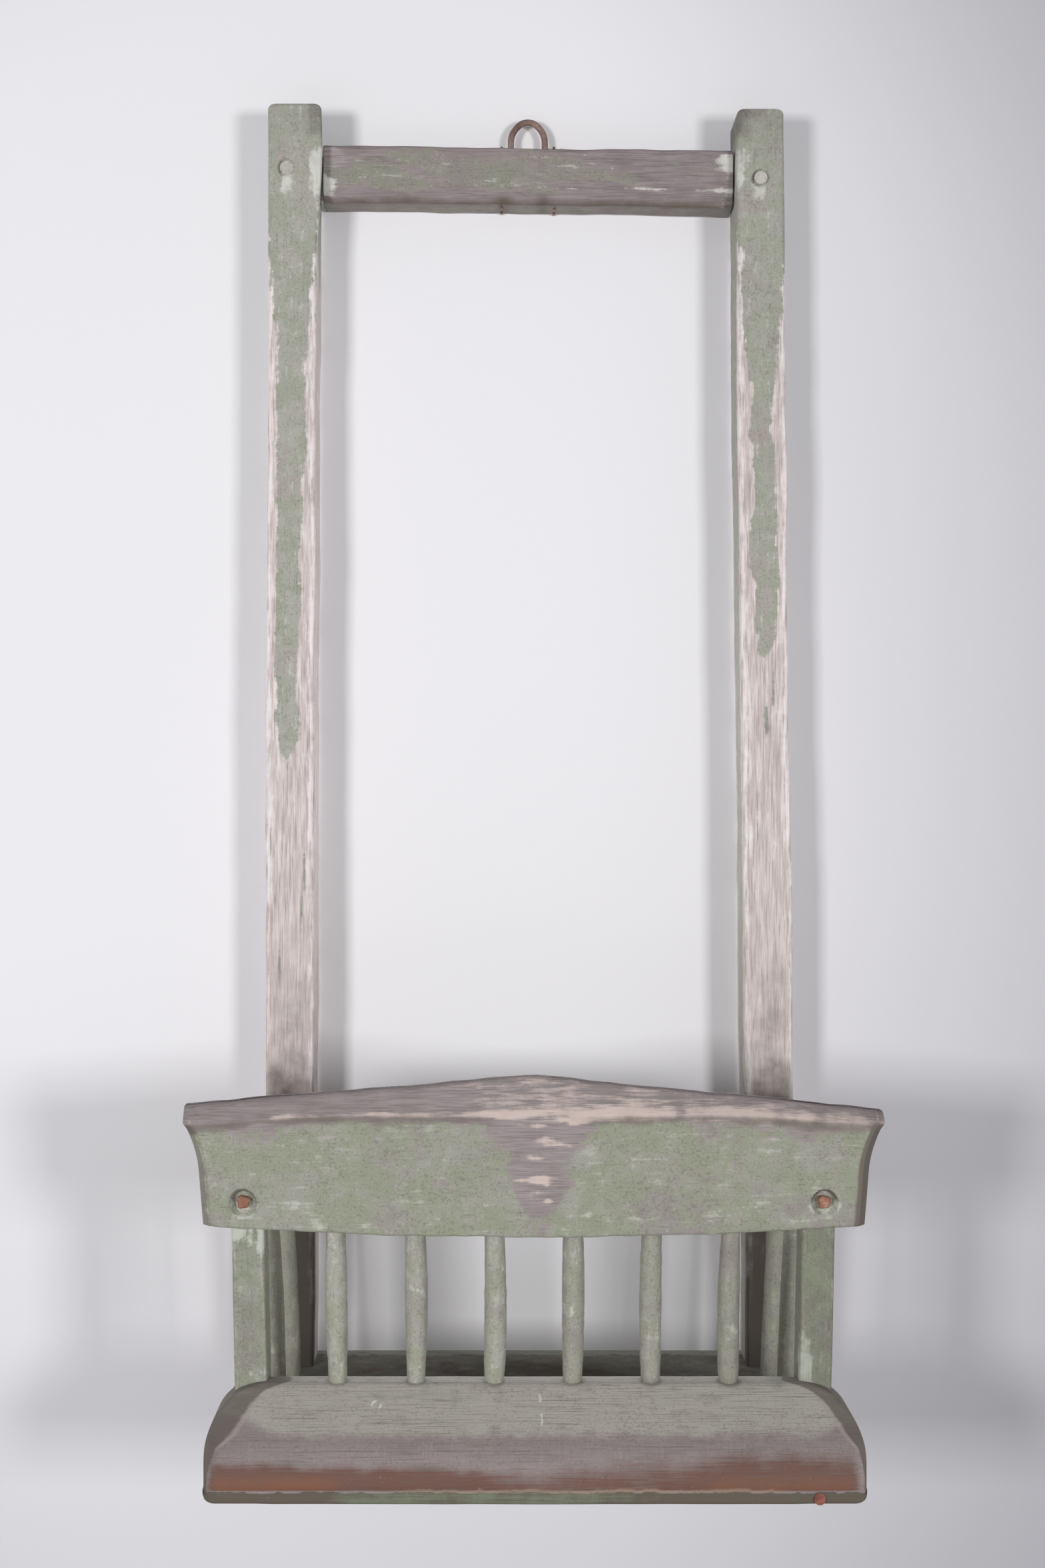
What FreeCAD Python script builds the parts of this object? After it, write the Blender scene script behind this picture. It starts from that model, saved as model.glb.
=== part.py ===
import FreeCAD, Part
import math
import os

# Child's hanging seat: two long hanger rails, a top bar with an iron ring, and at the
# foot a small seat with a rolled back edge, spindles and a bolted crest rail.
# X runs across the seat, +Y points to the side that hangs against the wall, +Z is up.
# The origin lies under the middle of the seat, on the plane that the seat stands on.
# Left is -X. All sizes are millimetres.

V = FreeCAD.Vector
LEFT = -1
RIGHT = 1

# Depth of the whole object, from the front of the seat roll to the back of the rails
seat_depth = 275.0

# Fits
mortise_clearance = 0.1
socket_clearance = 0.1
socket_end_gap = 0.5
nail_clearance = 0.05
bolt_clearance = 0.15
running_clearance = 0.06
through_cut = 1.0

# Seat plank
plank_width = 400.0
plank_thickness = 20.0
plank_tongue_length = 35.0
plank_tongue_width = 368.0
plank_edge_radius = 6.0
plank_corner_radius = 10.0

# Seat roll along the back of the seat
roll_width = 391.0
roll_depth = 69.5
roll_height = 58.0
roll_strip_depth = 18.0
roll_slope_deg = 32.0
roll_ridge_height = 9.0
roll_lip_setback = 1.5
roll_end_round_width = 34.0
roll_end_round_height = 28.0
roll_foot_radius = 8.0
roll_arris_radius = 5.0

# Hanger rails, a little closer together at the top, the left one taller
rail_left_width = 33.4
rail_right_width = 33.0
rail_depth = 45.0
rail_height = 893.0
rail_height_difference = 4.0
rail_left_base_x = 166.0
rail_left_top_x = 163.5
rail_right_base_x = 168.5
rail_right_top_x = 159.6
rail_arris_radius = 2.5
rail_top_bevel = 3.0
rail_tenon_width = 25.0
rail_tenon_depth = 24.0
rail_tenon_from_wall = 15.0

# Pegs that hold the rails in the seat plank
foot_peg_diameter = 8.0
foot_peg_length = 48.0

# Cross rail between the tops of the hanger rails
cross_rail_height = 39.0
cross_rail_depth = 33.0
cross_rail_horn = 26.5
cross_rail_tilt = 4.0
cross_rail_left_gap = 4.0
cross_rail_right_gap = 0.5
cross_rail_wear = 4.0
cross_rail_arris_radius = 1.5
cross_tenon_height = 28.0
cross_tenon_thickness = 12.0
cross_tenon_length = 30.0

# Pegs through the rails and the cross rail's tenons
cross_peg_diameter = 9.0
cross_peg_left_outward = 3.8
cross_peg_left_rise = 0.0
cross_peg_left_proud = 0.3
cross_peg_right_outward = 0.3
cross_peg_right_rise = -3.4
cross_peg_right_proud = 2.0

# Iron hanging ring that turns on its outward feet
ring_wire_diameter = 4.5
ring_leg_spread = 24.0
ring_rise = 26.5
ring_arch_rise = 14.5
ring_arch_join_deg = 53.0
ring_bend_radius = 4.0
ring_foot_length = 9.0
ring_lift = 0.8
ring_from_wall = 9.5

# Staples over the ring's feet, clinched under the cross rail
staple_wire_diameter = 2.0
staple_from_leg = 6.5
staple_bend_radius = 2.0
staple_clinch_length = 3.5

# Back spindles between the roll and the crest rail, whittled with a belly
spindle_end_diameter = 11.0
spindle_belly_diameter = 13.5
spindle_belly_share = 0.55
spindle_socket_depth = 12.0
back_spindle_count = 6
back_spindle_show = 92.0
back_spindle_pitch_base = 47.4
back_spindle_pitch_top = 48.4
back_spindle_from_roll_back = 11.5

# Crest rail
crest_ear_width = 423.0
crest_base_width = 399.0
crest_waist_width = 404.0
crest_thickness = 22.0
crest_end_height = 71.0
crest_ear_tip_height = 9.0
crest_ear_sweep_height = 31.0
crest_ear_hollow = 1.9
crest_peak_rise = 17.5
crest_base_sag = 7.0
crest_peak_radius = 60.0
crest_band_at_ears = 12.0
crest_band_at_peak = 21.0
crest_band_slant = 8.0
crest_band_overcut = 2.0
crest_end_chamfer = 4.0

# End posts behind the crest rail
post_width = 20.0
post_depth = 26.0
post_behind_roll = 13.0
post_spread_base = 344.0
post_spread_top = 352.0
post_above_arm = 10.0
post_arris_radius = 2.0
post_tenon_width = 12.0
post_tenon_depth = 14.0
post_tenon_length = 12.0

# Bolts through the crest rail and the posts
bolt_above_crest_base = 14.0
bolt_diameter = 6.0
bolt_head_width = 8.0
bolt_head_height = 4.0
bolt_recess_diameter = 15.0
bolt_recess_depth = 6.0
bolt_end_proud = 2.0
washer_diameter = 13.0
washer_thickness = 1.5
nut_width = 10.0
nut_height = 5.0

# Arms from the posts to the rails
arm_above_bolt = 9.0
arm_height = 22.0
arm_width = 18.0
arm_round_radius = 5.0
arm_tenon_width = 10.0
arm_tenon_height = 13.0
arm_tenon_in_post = 14.0
arm_tenon_in_rail = 20.0
arm_peg_diameter = 6.0

# Side spindles between the arms and the seat plank
side_spindle_count = 2
side_spindle_pitch = 59.0
side_spindle_inward = 10.0

# Nails: four up through the plank into the roll, one in the roll's lip
nail_diameter = 3.5
nail_head_diameter = 9.0
nail_head_height = 2.0
nail_length = 42.0
nail_pitch = 94.8
nail_count = 4
nail_from_roll_back = 20.0
lip_nail_diameter = 3.0
lip_nail_head_diameter = 7.0
lip_nail_head_height = 1.0
lip_nail_length = 26.0
lip_nail_x = 167.0
lip_nail_height = 4.0

# Planes and heights that follow from the sizes above
wall_y = seat_depth / 2
rail_front_y = wall_y - rail_depth
roll_front_y = -seat_depth / 2
roll_back_y = roll_front_y + roll_depth
roll_arris_y = roll_back_y - roll_strip_depth
post_back_y = roll_back_y + post_behind_roll
post_front_y = post_back_y - post_depth
crest_back_y = post_front_y
crest_front_y = crest_back_y - crest_thickness
crest_base_z = roll_height + back_spindle_show
crest_end_base_z = crest_base_z + crest_base_sag
crest_ear_z = crest_end_base_z + crest_end_height
crest_peak_z = crest_ear_z + crest_peak_rise
bolt_z = crest_end_base_z + bolt_above_crest_base
arm_base_z = bolt_z + arm_above_bolt
arm_top_z = arm_base_z + arm_height
arm_middle_z = arm_base_z + arm_height / 2
arm_in_post_y = (post_back_y - arm_tenon_in_post, post_back_y)
arm_in_rail_y = (rail_front_y, rail_front_y + arm_tenon_in_rail)
post_top_z = arm_top_z + post_above_arm
cross_top_z = rail_height - cross_rail_horn
cross_base_z = cross_top_z - cross_rail_height
cross_middle_z = cross_top_z - cross_rail_height / 2
cross_front_y = wall_y - cross_rail_depth
cross_middle_y = wall_y - cross_rail_depth / 2
ring_axis_y = wall_y - ring_from_wall
ring_axis_z = cross_top_z + ring_lift + ring_wire_diameter / 2
ring_leg_x = ring_leg_spread / 2


# Small solids


def box(x_range, y_range, z_range):
    """Box between two limits along each axis, given in either order."""
    low = V(min(x_range), min(y_range), min(z_range))
    high = V(max(x_range), max(y_range), max(z_range))
    size = high - low
    return Part.makeBox(size.x, size.y, size.z, low)


def rod(start, end, diameter):
    """Round rod between two points."""
    axis = end - start
    return Part.makeCylinder(diameter / 2, axis.Length, start, axis)


def prism_along_y(outline, y_range):
    """Prism whose XZ outline, a list of (x, z) points, is carried along Y."""
    points = [V(x, min(y_range), z) for x, z in outline]
    face = Part.Face(Part.makePolygon(points + points[:1]))
    return face.extrude(V(0, max(y_range) - min(y_range), 0))


def bent_wire(edges, diameter):
    """Round wire swept along a flat run of lines and arcs."""
    path = Part.Wire(Part.__sortEdges__(edges))
    first = path.OrderedEdges[0]
    start = first.valueAt(first.FirstParameter)
    ahead = first.tangentAt(first.FirstParameter)
    ring = Part.Wire(Part.Circle(start, ahead, diameter / 2).toShape())
    return path.makePipeShell([ring], True, False)


def edges_along(shape, direction):
    """Straight edges of a shape that run within a few degrees of a direction."""
    found = []
    for edge in shape.Edges:
        if isinstance(edge.Curve, Part.Line):
            if abs(edge.tangentAt(edge.FirstParameter).dot(direction)) > 0.99:
                found.append(edge)
    return found


def cut_away(shape, tools):
    """A solid with a list of other solids cut out of it."""
    result = shape.cut(Part.makeCompound(tools))
    return result.Solids[0]


def joined(shapes):
    """Solids that touch, joined into one."""
    result = shapes[0].multiFuse(shapes[1:])
    return result.removeSplitter().Solids[0]


# Lines that several pieces share


def rail_width_on(side):
    """Width of a rail: the two differ a little."""
    return rail_left_width if side == LEFT else rail_right_width


def rail_x(side, z):
    """Distance of a rail's middle from the seat's middle at height z."""
    base_x = rail_left_base_x if side == LEFT else rail_right_base_x
    top_x = rail_left_top_x if side == LEFT else rail_right_top_x
    return base_x + (top_x - base_x) * z / rail_height


def cross_lift(x):
    """How far the cross rail's tilt lifts it at x: its left end is the higher one."""
    return -cross_rail_tilt * x / (rail_left_top_x + rail_right_top_x)


def post_x(z):
    """Distance of a post's middle from the seat's middle at height z."""
    share = (z - plank_thickness) / (post_top_z - plank_thickness)
    return (post_spread_base + (post_spread_top - post_spread_base) * share) / 2


def arm_x(side, y):
    """Distance of an arm's middle from the seat's middle at depth y."""
    share = (y - post_back_y) / (rail_front_y - post_back_y)
    start = post_x(arm_middle_z)
    return start + (rail_x(side, arm_middle_z) - start) * share


def crest_bottom(x):
    """Height of the crest rail's bowed lower edge at distance x from the middle."""
    half = crest_base_width / 2
    radius = (half ** 2 + crest_base_sag ** 2) / (2 * crest_base_sag)
    return crest_base_z + radius - math.sqrt(radius ** 2 - x ** 2)


def spindle_parts(foot, head):
    """One whittled spindle and the two sockets that its ends sit in.

    The belly is an arc between foot and head, and each end runs on into its socket."""
    axis = head - foot
    length = axis.Length
    ahead = axis / length
    end_r = spindle_end_diameter / 2
    belly_r = spindle_belly_diameter / 2
    belly_z = length * spindle_belly_share
    low = V(end_r, 0, 0)
    high = V(end_r, 0, length)
    belly = Part.Arc(low, V(belly_r, 0, belly_z), high).toShape()
    low_end = V(end_r, 0, -spindle_socket_depth)
    high_end = V(end_r, 0, length + spindle_socket_depth)
    low_middle = V(0, 0, low_end.z)
    high_middle = V(0, 0, high_end.z)
    lower = Part.makePolygon([low_middle, low_end, low]).Edges
    upper = Part.makePolygon([high, high_end, high_middle, low_middle]).Edges
    outline = Part.Wire(lower + [belly] + upper)
    spindle = Part.Face(outline).revolve(V(0, 0, 0), V(0, 0, 1), 360)
    spindle.Placement = FreeCAD.Placement(foot, FreeCAD.Rotation(V(0, 0, 1), axis))
    reach = spindle_socket_depth + socket_end_gap
    hole = spindle_end_diameter + 2 * socket_clearance
    foot_socket = rod(foot - ahead * reach, foot + ahead * end_r, hole)
    head_socket = rod(head - ahead * end_r, head + ahead * reach, hole)
    return spindle.Solids[0], foot_socket, head_socket


# Hanger rails, cross rail and their pegs


def rail_height_on(side):
    """Rail height: the right rail is a little shorter."""
    return rail_height if side == LEFT else rail_height - rail_height_difference


def rail_blank(side):
    """Tapering pair: one rail with softened edges and a tenon through the seat plank."""
    top = rail_height_on(side)
    half = rail_width_on(side) / 2
    foot_x = rail_x(side, plank_thickness)
    head_x = rail_x(side, top)
    outline = [
        (side * (foot_x - half), plank_thickness),
        (side * (foot_x + half), plank_thickness),
        (side * (head_x + half), top),
        (side * (head_x - half), top),
    ]
    body = prism_along_y(outline, (rail_front_y, wall_y))
    crown = [edge for edge in body.Edges if edge.BoundBox.ZMin > top - through_cut]
    body = body.makeChamfer(rail_top_bevel, crown)
    body = body.makeFillet(rail_arris_radius, edges_along(body, V(0, 0, 1)))
    tenon = box(
        (side * foot_x - rail_tenon_width / 2, side * foot_x + rail_tenon_width / 2),
        rail_tenon_y(0),
        (0, plank_thickness),
    )
    return joined([body, tenon])


def rail_tenon_y(clearance):
    """Depth range of the rail's tenon, or of its mortise with a clearance."""
    back = wall_y - rail_tenon_from_wall
    return (back - rail_tenon_depth - clearance, back + clearance)


def rail_mortise(side):
    """Mortise through the seat plank for a rail's tenon."""
    middle = side * rail_x(side, plank_thickness)
    half = rail_tenon_width / 2 + mortise_clearance
    z_range = (-through_cut, plank_thickness + through_cut)
    return box((middle - half, middle + half), rail_tenon_y(mortise_clearance), z_range)


def foot_peg(side, extra):
    """Peg from the plank's edge through a rail's tenon, or its hole with extra width."""
    y = sum(rail_tenon_y(0)) / 2
    z = plank_thickness / 2
    outer = side * plank_width / 2
    inner = outer - side * (foot_peg_length + extra)
    return rod(V(outer, y, z), V(inner, y, z), foot_peg_diameter + 2 * extra)


def cross_rail_blank():
    """Tilted cross rail with square tenons and a worn lower front edge."""
    outline = [
        cross_corner(LEFT, cross_base_z),
        cross_corner(RIGHT, cross_base_z),
        cross_corner(RIGHT, cross_top_z),
        cross_corner(LEFT, cross_top_z),
    ]
    body = prism_along_y(outline, (cross_front_y, wall_y))
    body = body.makeChamfer(cross_rail_wear, cross_front_edges(body, False))
    body = body.makeFillet(cross_rail_arris_radius, cross_front_edges(body, True))
    return joined([body, cross_tenon(LEFT, 0), cross_tenon(RIGHT, 0)])


def cross_corner(side, z):
    """Corner of the cross rail's front outline beside a rail, from its untilted height."""
    gap = cross_rail_left_gap if side == LEFT else cross_rail_right_gap
    x = side * (rail_x(side, z) - rail_width_on(side) / 2 - gap)
    return (x, z + cross_lift(x))


def cross_front_edges(body, upper):
    """Long front edges of the cross rail, in its upper or its lower half."""
    found = []
    for edge in edges_along(body, V(1, 0, 0)):
        middle = edge.CenterOfMass
        if middle.y < cross_middle_y and (middle.z > cross_middle_z) == upper:
            found.append(edge)
    return found


def cross_tenon(side, clearance):
    """Cross rail's tenon on one side, or its mortise with a clearance all round."""
    shoulder = rail_x(side, cross_middle_z) - rail_width_on(side) / 2
    middle_z = cross_middle_z + cross_lift(side * shoulder)
    start = shoulder - cross_tenon_thickness
    end = shoulder + cross_tenon_length + clearance
    half_y = cross_tenon_thickness / 2 + clearance
    half_z = cross_tenon_height / 2 + clearance
    return box(
        (side * start, side * end),
        (cross_middle_y - half_y, cross_middle_y + half_y),
        (middle_z - half_z, middle_z + half_z),
    )


def cross_peg(side, extra):
    """Peg through a rail and the cross rail's tenon, or its hole with extra width."""
    if side == LEFT:
        outward = cross_peg_left_outward
        rise = cross_peg_left_rise
        proud = cross_peg_left_proud
    else:
        outward = cross_peg_right_outward
        rise = cross_peg_right_rise
        proud = cross_peg_right_proud
    x = side * (rail_x(side, cross_middle_z) + outward)
    z = cross_middle_z + cross_lift(x) + rise
    return rod(V(x, rail_front_y - proud, z), V(x, wall_y, z), cross_peg_diameter + 2 * extra)


# Hanging ring and staples


def ring_half(side):
    """Edges of half the ring's middle line: foot, bend, leg, then two arcs of the arch.

    The arch is struck from three centres, so that its side and top arcs run smoothly
    into each other where the join angle is reached."""
    join = math.radians(ring_arch_join_deg)
    share = (1 - math.cos(join)) / math.sin(join)
    top_r = (ring_leg_x - ring_arch_rise * share) / (math.cos(join) - (1 - math.sin(join)) * share)
    side_r = (ring_arch_rise - top_r * (1 - math.sin(join))) / math.sin(join)
    crown_z = cross_top_z + ring_rise - ring_wire_diameter / 2
    spring_z = crown_z - ring_arch_rise
    bend_x = ring_leg_x + ring_bend_radius
    bend_z = ring_axis_z + ring_bend_radius

    def point(x, z):
        return V(side * x, ring_axis_y, z)

    def on_bend(angle):
        x = bend_x - ring_bend_radius * math.sin(angle)
        return point(x, bend_z - ring_bend_radius * math.cos(angle))

    def on_side(angle):
        x = ring_leg_x - side_r + side_r * math.cos(angle)
        return point(x, spring_z + side_r * math.sin(angle))

    def on_top(angle):
        return point(top_r * math.cos(angle), crown_z - top_r + top_r * math.sin(angle))

    quarter = math.pi / 2
    foot_end = point(bend_x + ring_foot_length, ring_axis_z)
    return [
        Part.LineSegment(foot_end, on_bend(0)).toShape(),
        Part.Arc(on_bend(0), on_bend(quarter / 2), on_bend(quarter)).toShape(),
        Part.LineSegment(on_bend(quarter), on_side(0)).toShape(),
        Part.Arc(on_side(0), on_side(join / 2), on_side(join)).toShape(),
        Part.Arc(on_top(join), on_top((join + quarter) / 2), on_top(quarter)).toShape(),
    ]


def hang_ring():
    """Iron ring bent from one wire."""
    edges = ring_half(LEFT) + ring_half(RIGHT)
    return bent_wire(edges, ring_wire_diameter).Solids[0]


def staple_spread():
    """Distance of a staple's legs from the ring foot's axis."""
    return ring_wire_diameter / 2 + running_clearance + staple_wire_diameter / 2


def staple_x(side):
    """Place of a staple along the cross rail."""
    return side * (ring_leg_x + staple_from_leg)


def staple(side):
    """Staple over a ring foot, driven through the cross rail and clinched below."""
    x = staple_x(side)
    spread = staple_spread()
    bend = staple_bend_radius
    diagonal = bend * (1 - math.sqrt(0.5))
    clinch_z = cross_base_z - bend
    edges = []
    for hand in (-1, 1):
        leg_y = ring_axis_y + hand * spread
        turn_y = leg_y + hand * bend
        leg_top = V(x, leg_y, ring_axis_z)
        leg_base = V(x, leg_y, cross_base_z)
        bend_middle = V(x, leg_y + hand * diagonal, cross_base_z - bend + diagonal)
        bend_end = V(x, turn_y, clinch_z)
        clinch_end = V(x, turn_y + hand * staple_clinch_length, clinch_z)
        edges.append(Part.LineSegment(clinch_end, bend_end).toShape())
        edges.append(Part.Arc(bend_end, bend_middle, leg_base).toShape())
        edges.append(Part.LineSegment(leg_base, leg_top).toShape())
    crown_start = V(x, ring_axis_y - spread, ring_axis_z)
    crown_top = V(x, ring_axis_y, ring_axis_z + spread)
    crown_end = V(x, ring_axis_y + spread, ring_axis_z)
    edges.append(Part.Arc(crown_start, crown_top, crown_end).toShape())
    return bent_wire(edges, staple_wire_diameter).Solids[0]


def staple_holes(side):
    """Two holes through the cross rail for a staple's legs."""
    holes = []
    diameter = staple_wire_diameter + 2 * nail_clearance
    for hand in (-1, 1):
        y = ring_axis_y + hand * staple_spread()
        low = V(staple_x(side), y, cross_base_z - through_cut)
        high = V(staple_x(side), y, cross_top_z + through_cut)
        holes.append(rod(low, high, diameter))
    return holes


# Seat plank and seat roll


def plank_blank():
    """Seat plank with rounded side edges and a narrower tongue for the roll."""
    half = plank_width / 2
    body = box((-half, half), (roll_back_y, wall_y), (0, plank_thickness))
    corners = [edge for edge in edges_along(body, V(0, 0, 1)) if edge.CenterOfMass.y > 0]
    body = body.makeFillet(plank_corner_radius, corners)
    sides = [edge for edge in edges_along(body, V(0, 1, 0)) if edge.CenterOfMass.z > 0]
    body = body.makeFillet(plank_edge_radius, sides)
    half_tongue = plank_tongue_width / 2
    tongue_end_y = roll_back_y - plank_tongue_length
    tongue = box((-half_tongue, half_tongue), (tongue_end_y, roll_back_y), (0, plank_thickness))
    return joined([body, tongue])


def roll_blank():
    """Seat roll: a sloped and rounded section, cut to rounded ends, arrises softened.

    The slope runs from the flat strip until it meets an arc that is upright at the ridge."""
    slope = math.radians(roll_slope_deg)
    run = roll_arris_y - roll_front_y
    rise = roll_height - roll_ridge_height
    arc_r = (rise - run * math.tan(slope)) / (
        math.cos(slope) - math.tan(slope) * (1 - math.sin(slope))
    )
    centre_y = roll_front_y + arc_r
    half = roll_width / 2

    def point(y, z):
        return V(-half, y, z)

    def on_arc(angle):
        return point(centre_y - arc_r * math.cos(angle), roll_ridge_height + arc_r * math.sin(angle))

    steep = math.pi / 2 - slope
    ridge = on_arc(0)
    slope_end = on_arc(steep)
    lip_y = roll_front_y + roll_lip_setback
    lower = Part.makePolygon([
        point(roll_back_y, 0),
        point(lip_y, 0),
        point(lip_y, roll_ridge_height - roll_lip_setback),
        ridge,
    ])
    curve = Part.Arc(ridge, on_arc(steep / 2), slope_end).toShape()
    upper = Part.makePolygon([
        slope_end,
        point(roll_arris_y, roll_height),
        point(roll_back_y, roll_height),
        point(roll_back_y, 0),
    ])
    section = Part.Face(Part.Wire(lower.Edges + [curve] + upper.Edges))
    body = section.extrude(V(roll_width, 0, 0))
    return body.common(roll_end_outline()).Solids[0]


def roll_end_outline():
    """Front outline of the roll, with a quarter ellipse at each upper end."""
    half = roll_width / 2
    flat_x = half - roll_end_round_width
    low_z = roll_height - roll_end_round_height
    y = roll_front_y - through_cut
    edges = []
    for side in (LEFT, RIGHT):
        centre = V(side * flat_x, y, low_z)
        across = V(side * half, y, low_z)
        above = V(side * flat_x, y, roll_height)
        edges.append(quarter_ellipse(centre, across, above))
        edges.append(Part.LineSegment(across, V(side * half, y, 0)).toShape())
    edges.append(Part.LineSegment(V(-half, y, 0), V(half, y, 0)).toShape())
    edges.append(Part.LineSegment(V(-flat_x, y, roll_height), V(flat_x, y, roll_height)).toShape())
    outline = Part.Wire(Part.__sortEdges__(edges))
    return Part.Face(outline).extrude(V(0, roll_depth + 2 * through_cut, 0))


def quarter_ellipse(centre, across, above):
    """Quarter of an ellipse between the ends of its two half axes."""
    wide = (across - centre).Length
    high = (above - centre).Length
    if wide >= high:
        return Part.Ellipse(across, above, centre).toShape(0, math.pi / 2)
    return Part.Ellipse(above, across, centre).toShape(0, math.pi / 2)


def softened_roll(body):
    """Roll with the arris below its flat strip, and the rims of its ends, rounded over."""
    rims = []
    for edge in body.Edges:
        middle = edge.CenterOfMass
        in_front = edge.BoundBox.YMax < roll_back_y - through_cut
        at_end = abs(middle.x) > roll_width / 2 - roll_end_round_width
        at_arris = abs(middle.y - roll_arris_y) < through_cut
        if in_front and middle.z > roll_ridge_height and (at_end or at_arris):
            rims.append(edge)
    return body.makeFillet(roll_arris_radius, rims)


def roll_foot_waste(side):
    """What comes off a lower end corner of the roll to leave it rounded."""
    middle_x = side * (roll_width / 2 - roll_foot_radius)
    outer_x = side * (roll_width / 2 + through_cut)
    y_range = (roll_front_y - through_cut, roll_back_y + through_cut)
    corner = box((middle_x, outer_x), y_range, (-through_cut, roll_foot_radius))
    start = V(middle_x, y_range[0], roll_foot_radius)
    end = V(middle_x, y_range[1], roll_foot_radius)
    return corner.cut(rod(start, end, 2 * roll_foot_radius))


def roll_rabbet():
    """Space in the roll for the seat plank's tongue."""
    half = plank_tongue_width / 2 + mortise_clearance
    end_y = roll_back_y - plank_tongue_length - mortise_clearance
    y_range = (end_y, roll_back_y + through_cut)
    return box((-half, half), y_range, (-through_cut, plank_thickness))


def plank_nail(index, extra):
    """Nail up through the plank into the roll, or its hole with extra width."""
    x = (index - (nail_count - 1) / 2) * nail_pitch
    y = roll_back_y - nail_from_roll_back
    head = rod(V(x, y, 0), V(x, y, nail_head_height + extra), nail_head_diameter + 2 * extra)
    shank = rod(V(x, y, 0), V(x, y, nail_length + extra), nail_diameter + 2 * extra)
    return joined([head, shank])


def lip_nail(extra):
    """Nail in the roll's lip, with its head on the face, or its hole with extra width."""
    face_y = roll_front_y + roll_lip_setback
    outer = V(lip_nail_x, face_y - lip_nail_head_height, lip_nail_height)
    seat = V(lip_nail_x, face_y, lip_nail_height)
    tip = V(lip_nail_x, face_y + lip_nail_length + extra, lip_nail_height)
    head = rod(outer, seat, lip_nail_head_diameter)
    shank = rod(outer, tip, lip_nail_diameter + 2 * extra)
    if extra > 0:
        return shank
    return joined([head, shank])


# Posts, crest rail and bolts


def post_blank(side):
    """End post, leaning a little outwards, with a tenon into the seat plank."""
    half = post_width / 2
    foot_x = post_x(plank_thickness)
    head_x = post_x(post_top_z)
    outline = [
        (side * (foot_x - half), plank_thickness),
        (side * (foot_x + half), plank_thickness),
        (side * (head_x + half), post_top_z),
        (side * (head_x - half), post_top_z),
    ]
    body = prism_along_y(outline, (post_front_y, post_back_y))
    crown = [edge for edge in body.Edges if edge.BoundBox.ZMin > post_top_z - through_cut]
    body = body.makeFillet(post_arris_radius, crown)
    return joined([body, post_tenon(side, 0)])


def post_tenon(side, clearance):
    """Post's tenon in the seat plank, or its mortise with a clearance all round."""
    middle_x = side * post_x(plank_thickness)
    half_x = post_tenon_width / 2 + clearance
    front_y = post_back_y - post_tenon_depth - clearance
    base_z = plank_thickness - post_tenon_length - clearance
    y_range = (front_y, post_back_y + clearance)
    return box((middle_x - half_x, middle_x + half_x), y_range, (base_z, plank_thickness))


def post_housing(side):
    """Space in the roll's back for the foot of a post."""
    half = post_width / 2
    z_range = (plank_thickness, roll_height + through_cut)
    x_range = [post_x(z_range[0]), post_x(z_range[1])]
    outline = [
        (side * (x_range[0] - half), z_range[0]),
        (side * (x_range[0] + half), z_range[0]),
        (side * (x_range[1] + half), z_range[1]),
        (side * (x_range[1] - half), z_range[1]),
    ]
    return prism_along_y(outline, (post_front_y, post_back_y))


def crest_outline():
    """Front outline of the crest rail: bowed base, swept ears, gable top."""
    ear_x = crest_ear_width / 2
    base_x = crest_base_width / 2
    waist_x = crest_waist_width / 2
    tip_z = crest_ear_z - crest_ear_tip_height
    waist_z = tip_z - crest_ear_sweep_height
    lean = math.atan2(crest_peak_rise, ear_x)
    tangent = crest_peak_radius * math.sin(lean)
    touch_z = crest_peak_z - crest_peak_radius * (1 - math.cos(lean))

    def point(x, z):
        return V(x, crest_front_y, z)

    edges = []
    corners = [point(-base_x, crest_end_base_z), point(base_x, crest_end_base_z)]
    edges.append(Part.Arc(corners[0], point(0, crest_base_z), corners[1]).toShape())
    for side in (LEFT, RIGHT):
        corner = point(side * base_x, crest_end_base_z)
        waist = point(side * waist_x, waist_z)
        tip = point(side * ear_x, tip_z)
        ear = point(side * ear_x, crest_ear_z)
        touch = point(side * tangent, touch_z)
        hollow_x = (waist_x + ear_x) / 2 - crest_ear_hollow
        bend = point(side * hollow_x, waist_z + crest_ear_sweep_height / 2)
        edges.append(Part.LineSegment(corner, waist).toShape())
        edges.append(Part.Arc(waist, bend, tip).toShape())
        edges.append(Part.LineSegment(tip, ear).toShape())
        edges.append(Part.LineSegment(ear, touch).toShape())
    crown = Part.Arc(point(-tangent, touch_z), point(0, crest_peak_z), point(tangent, touch_z))
    edges.append(crown.toShape())
    return Part.Wire(Part.__sortEdges__(edges))


def crest_band():
    """Wedge off the crest's top front: deeper and taller at the peak than at the ears."""
    sections = []
    ear_x = crest_ear_width / 2 + through_cut
    for x, top_z, tall in (
        (-ear_x, crest_ear_z, crest_band_at_ears),
        (0, crest_peak_z, crest_band_at_peak),
        (ear_x, crest_ear_z, crest_band_at_ears),
    ):
        arris = V(x, crest_front_y, top_z - tall)
        over_z = arris.z + tall * crest_band_overcut
        above = V(x, crest_front_y, over_z)
        behind = V(x, crest_front_y + crest_band_slant * crest_band_overcut, over_z)
        sections.append(Part.makePolygon([arris, above, behind, arris]))
    return Part.makeLoft(sections, True, True)


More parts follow.
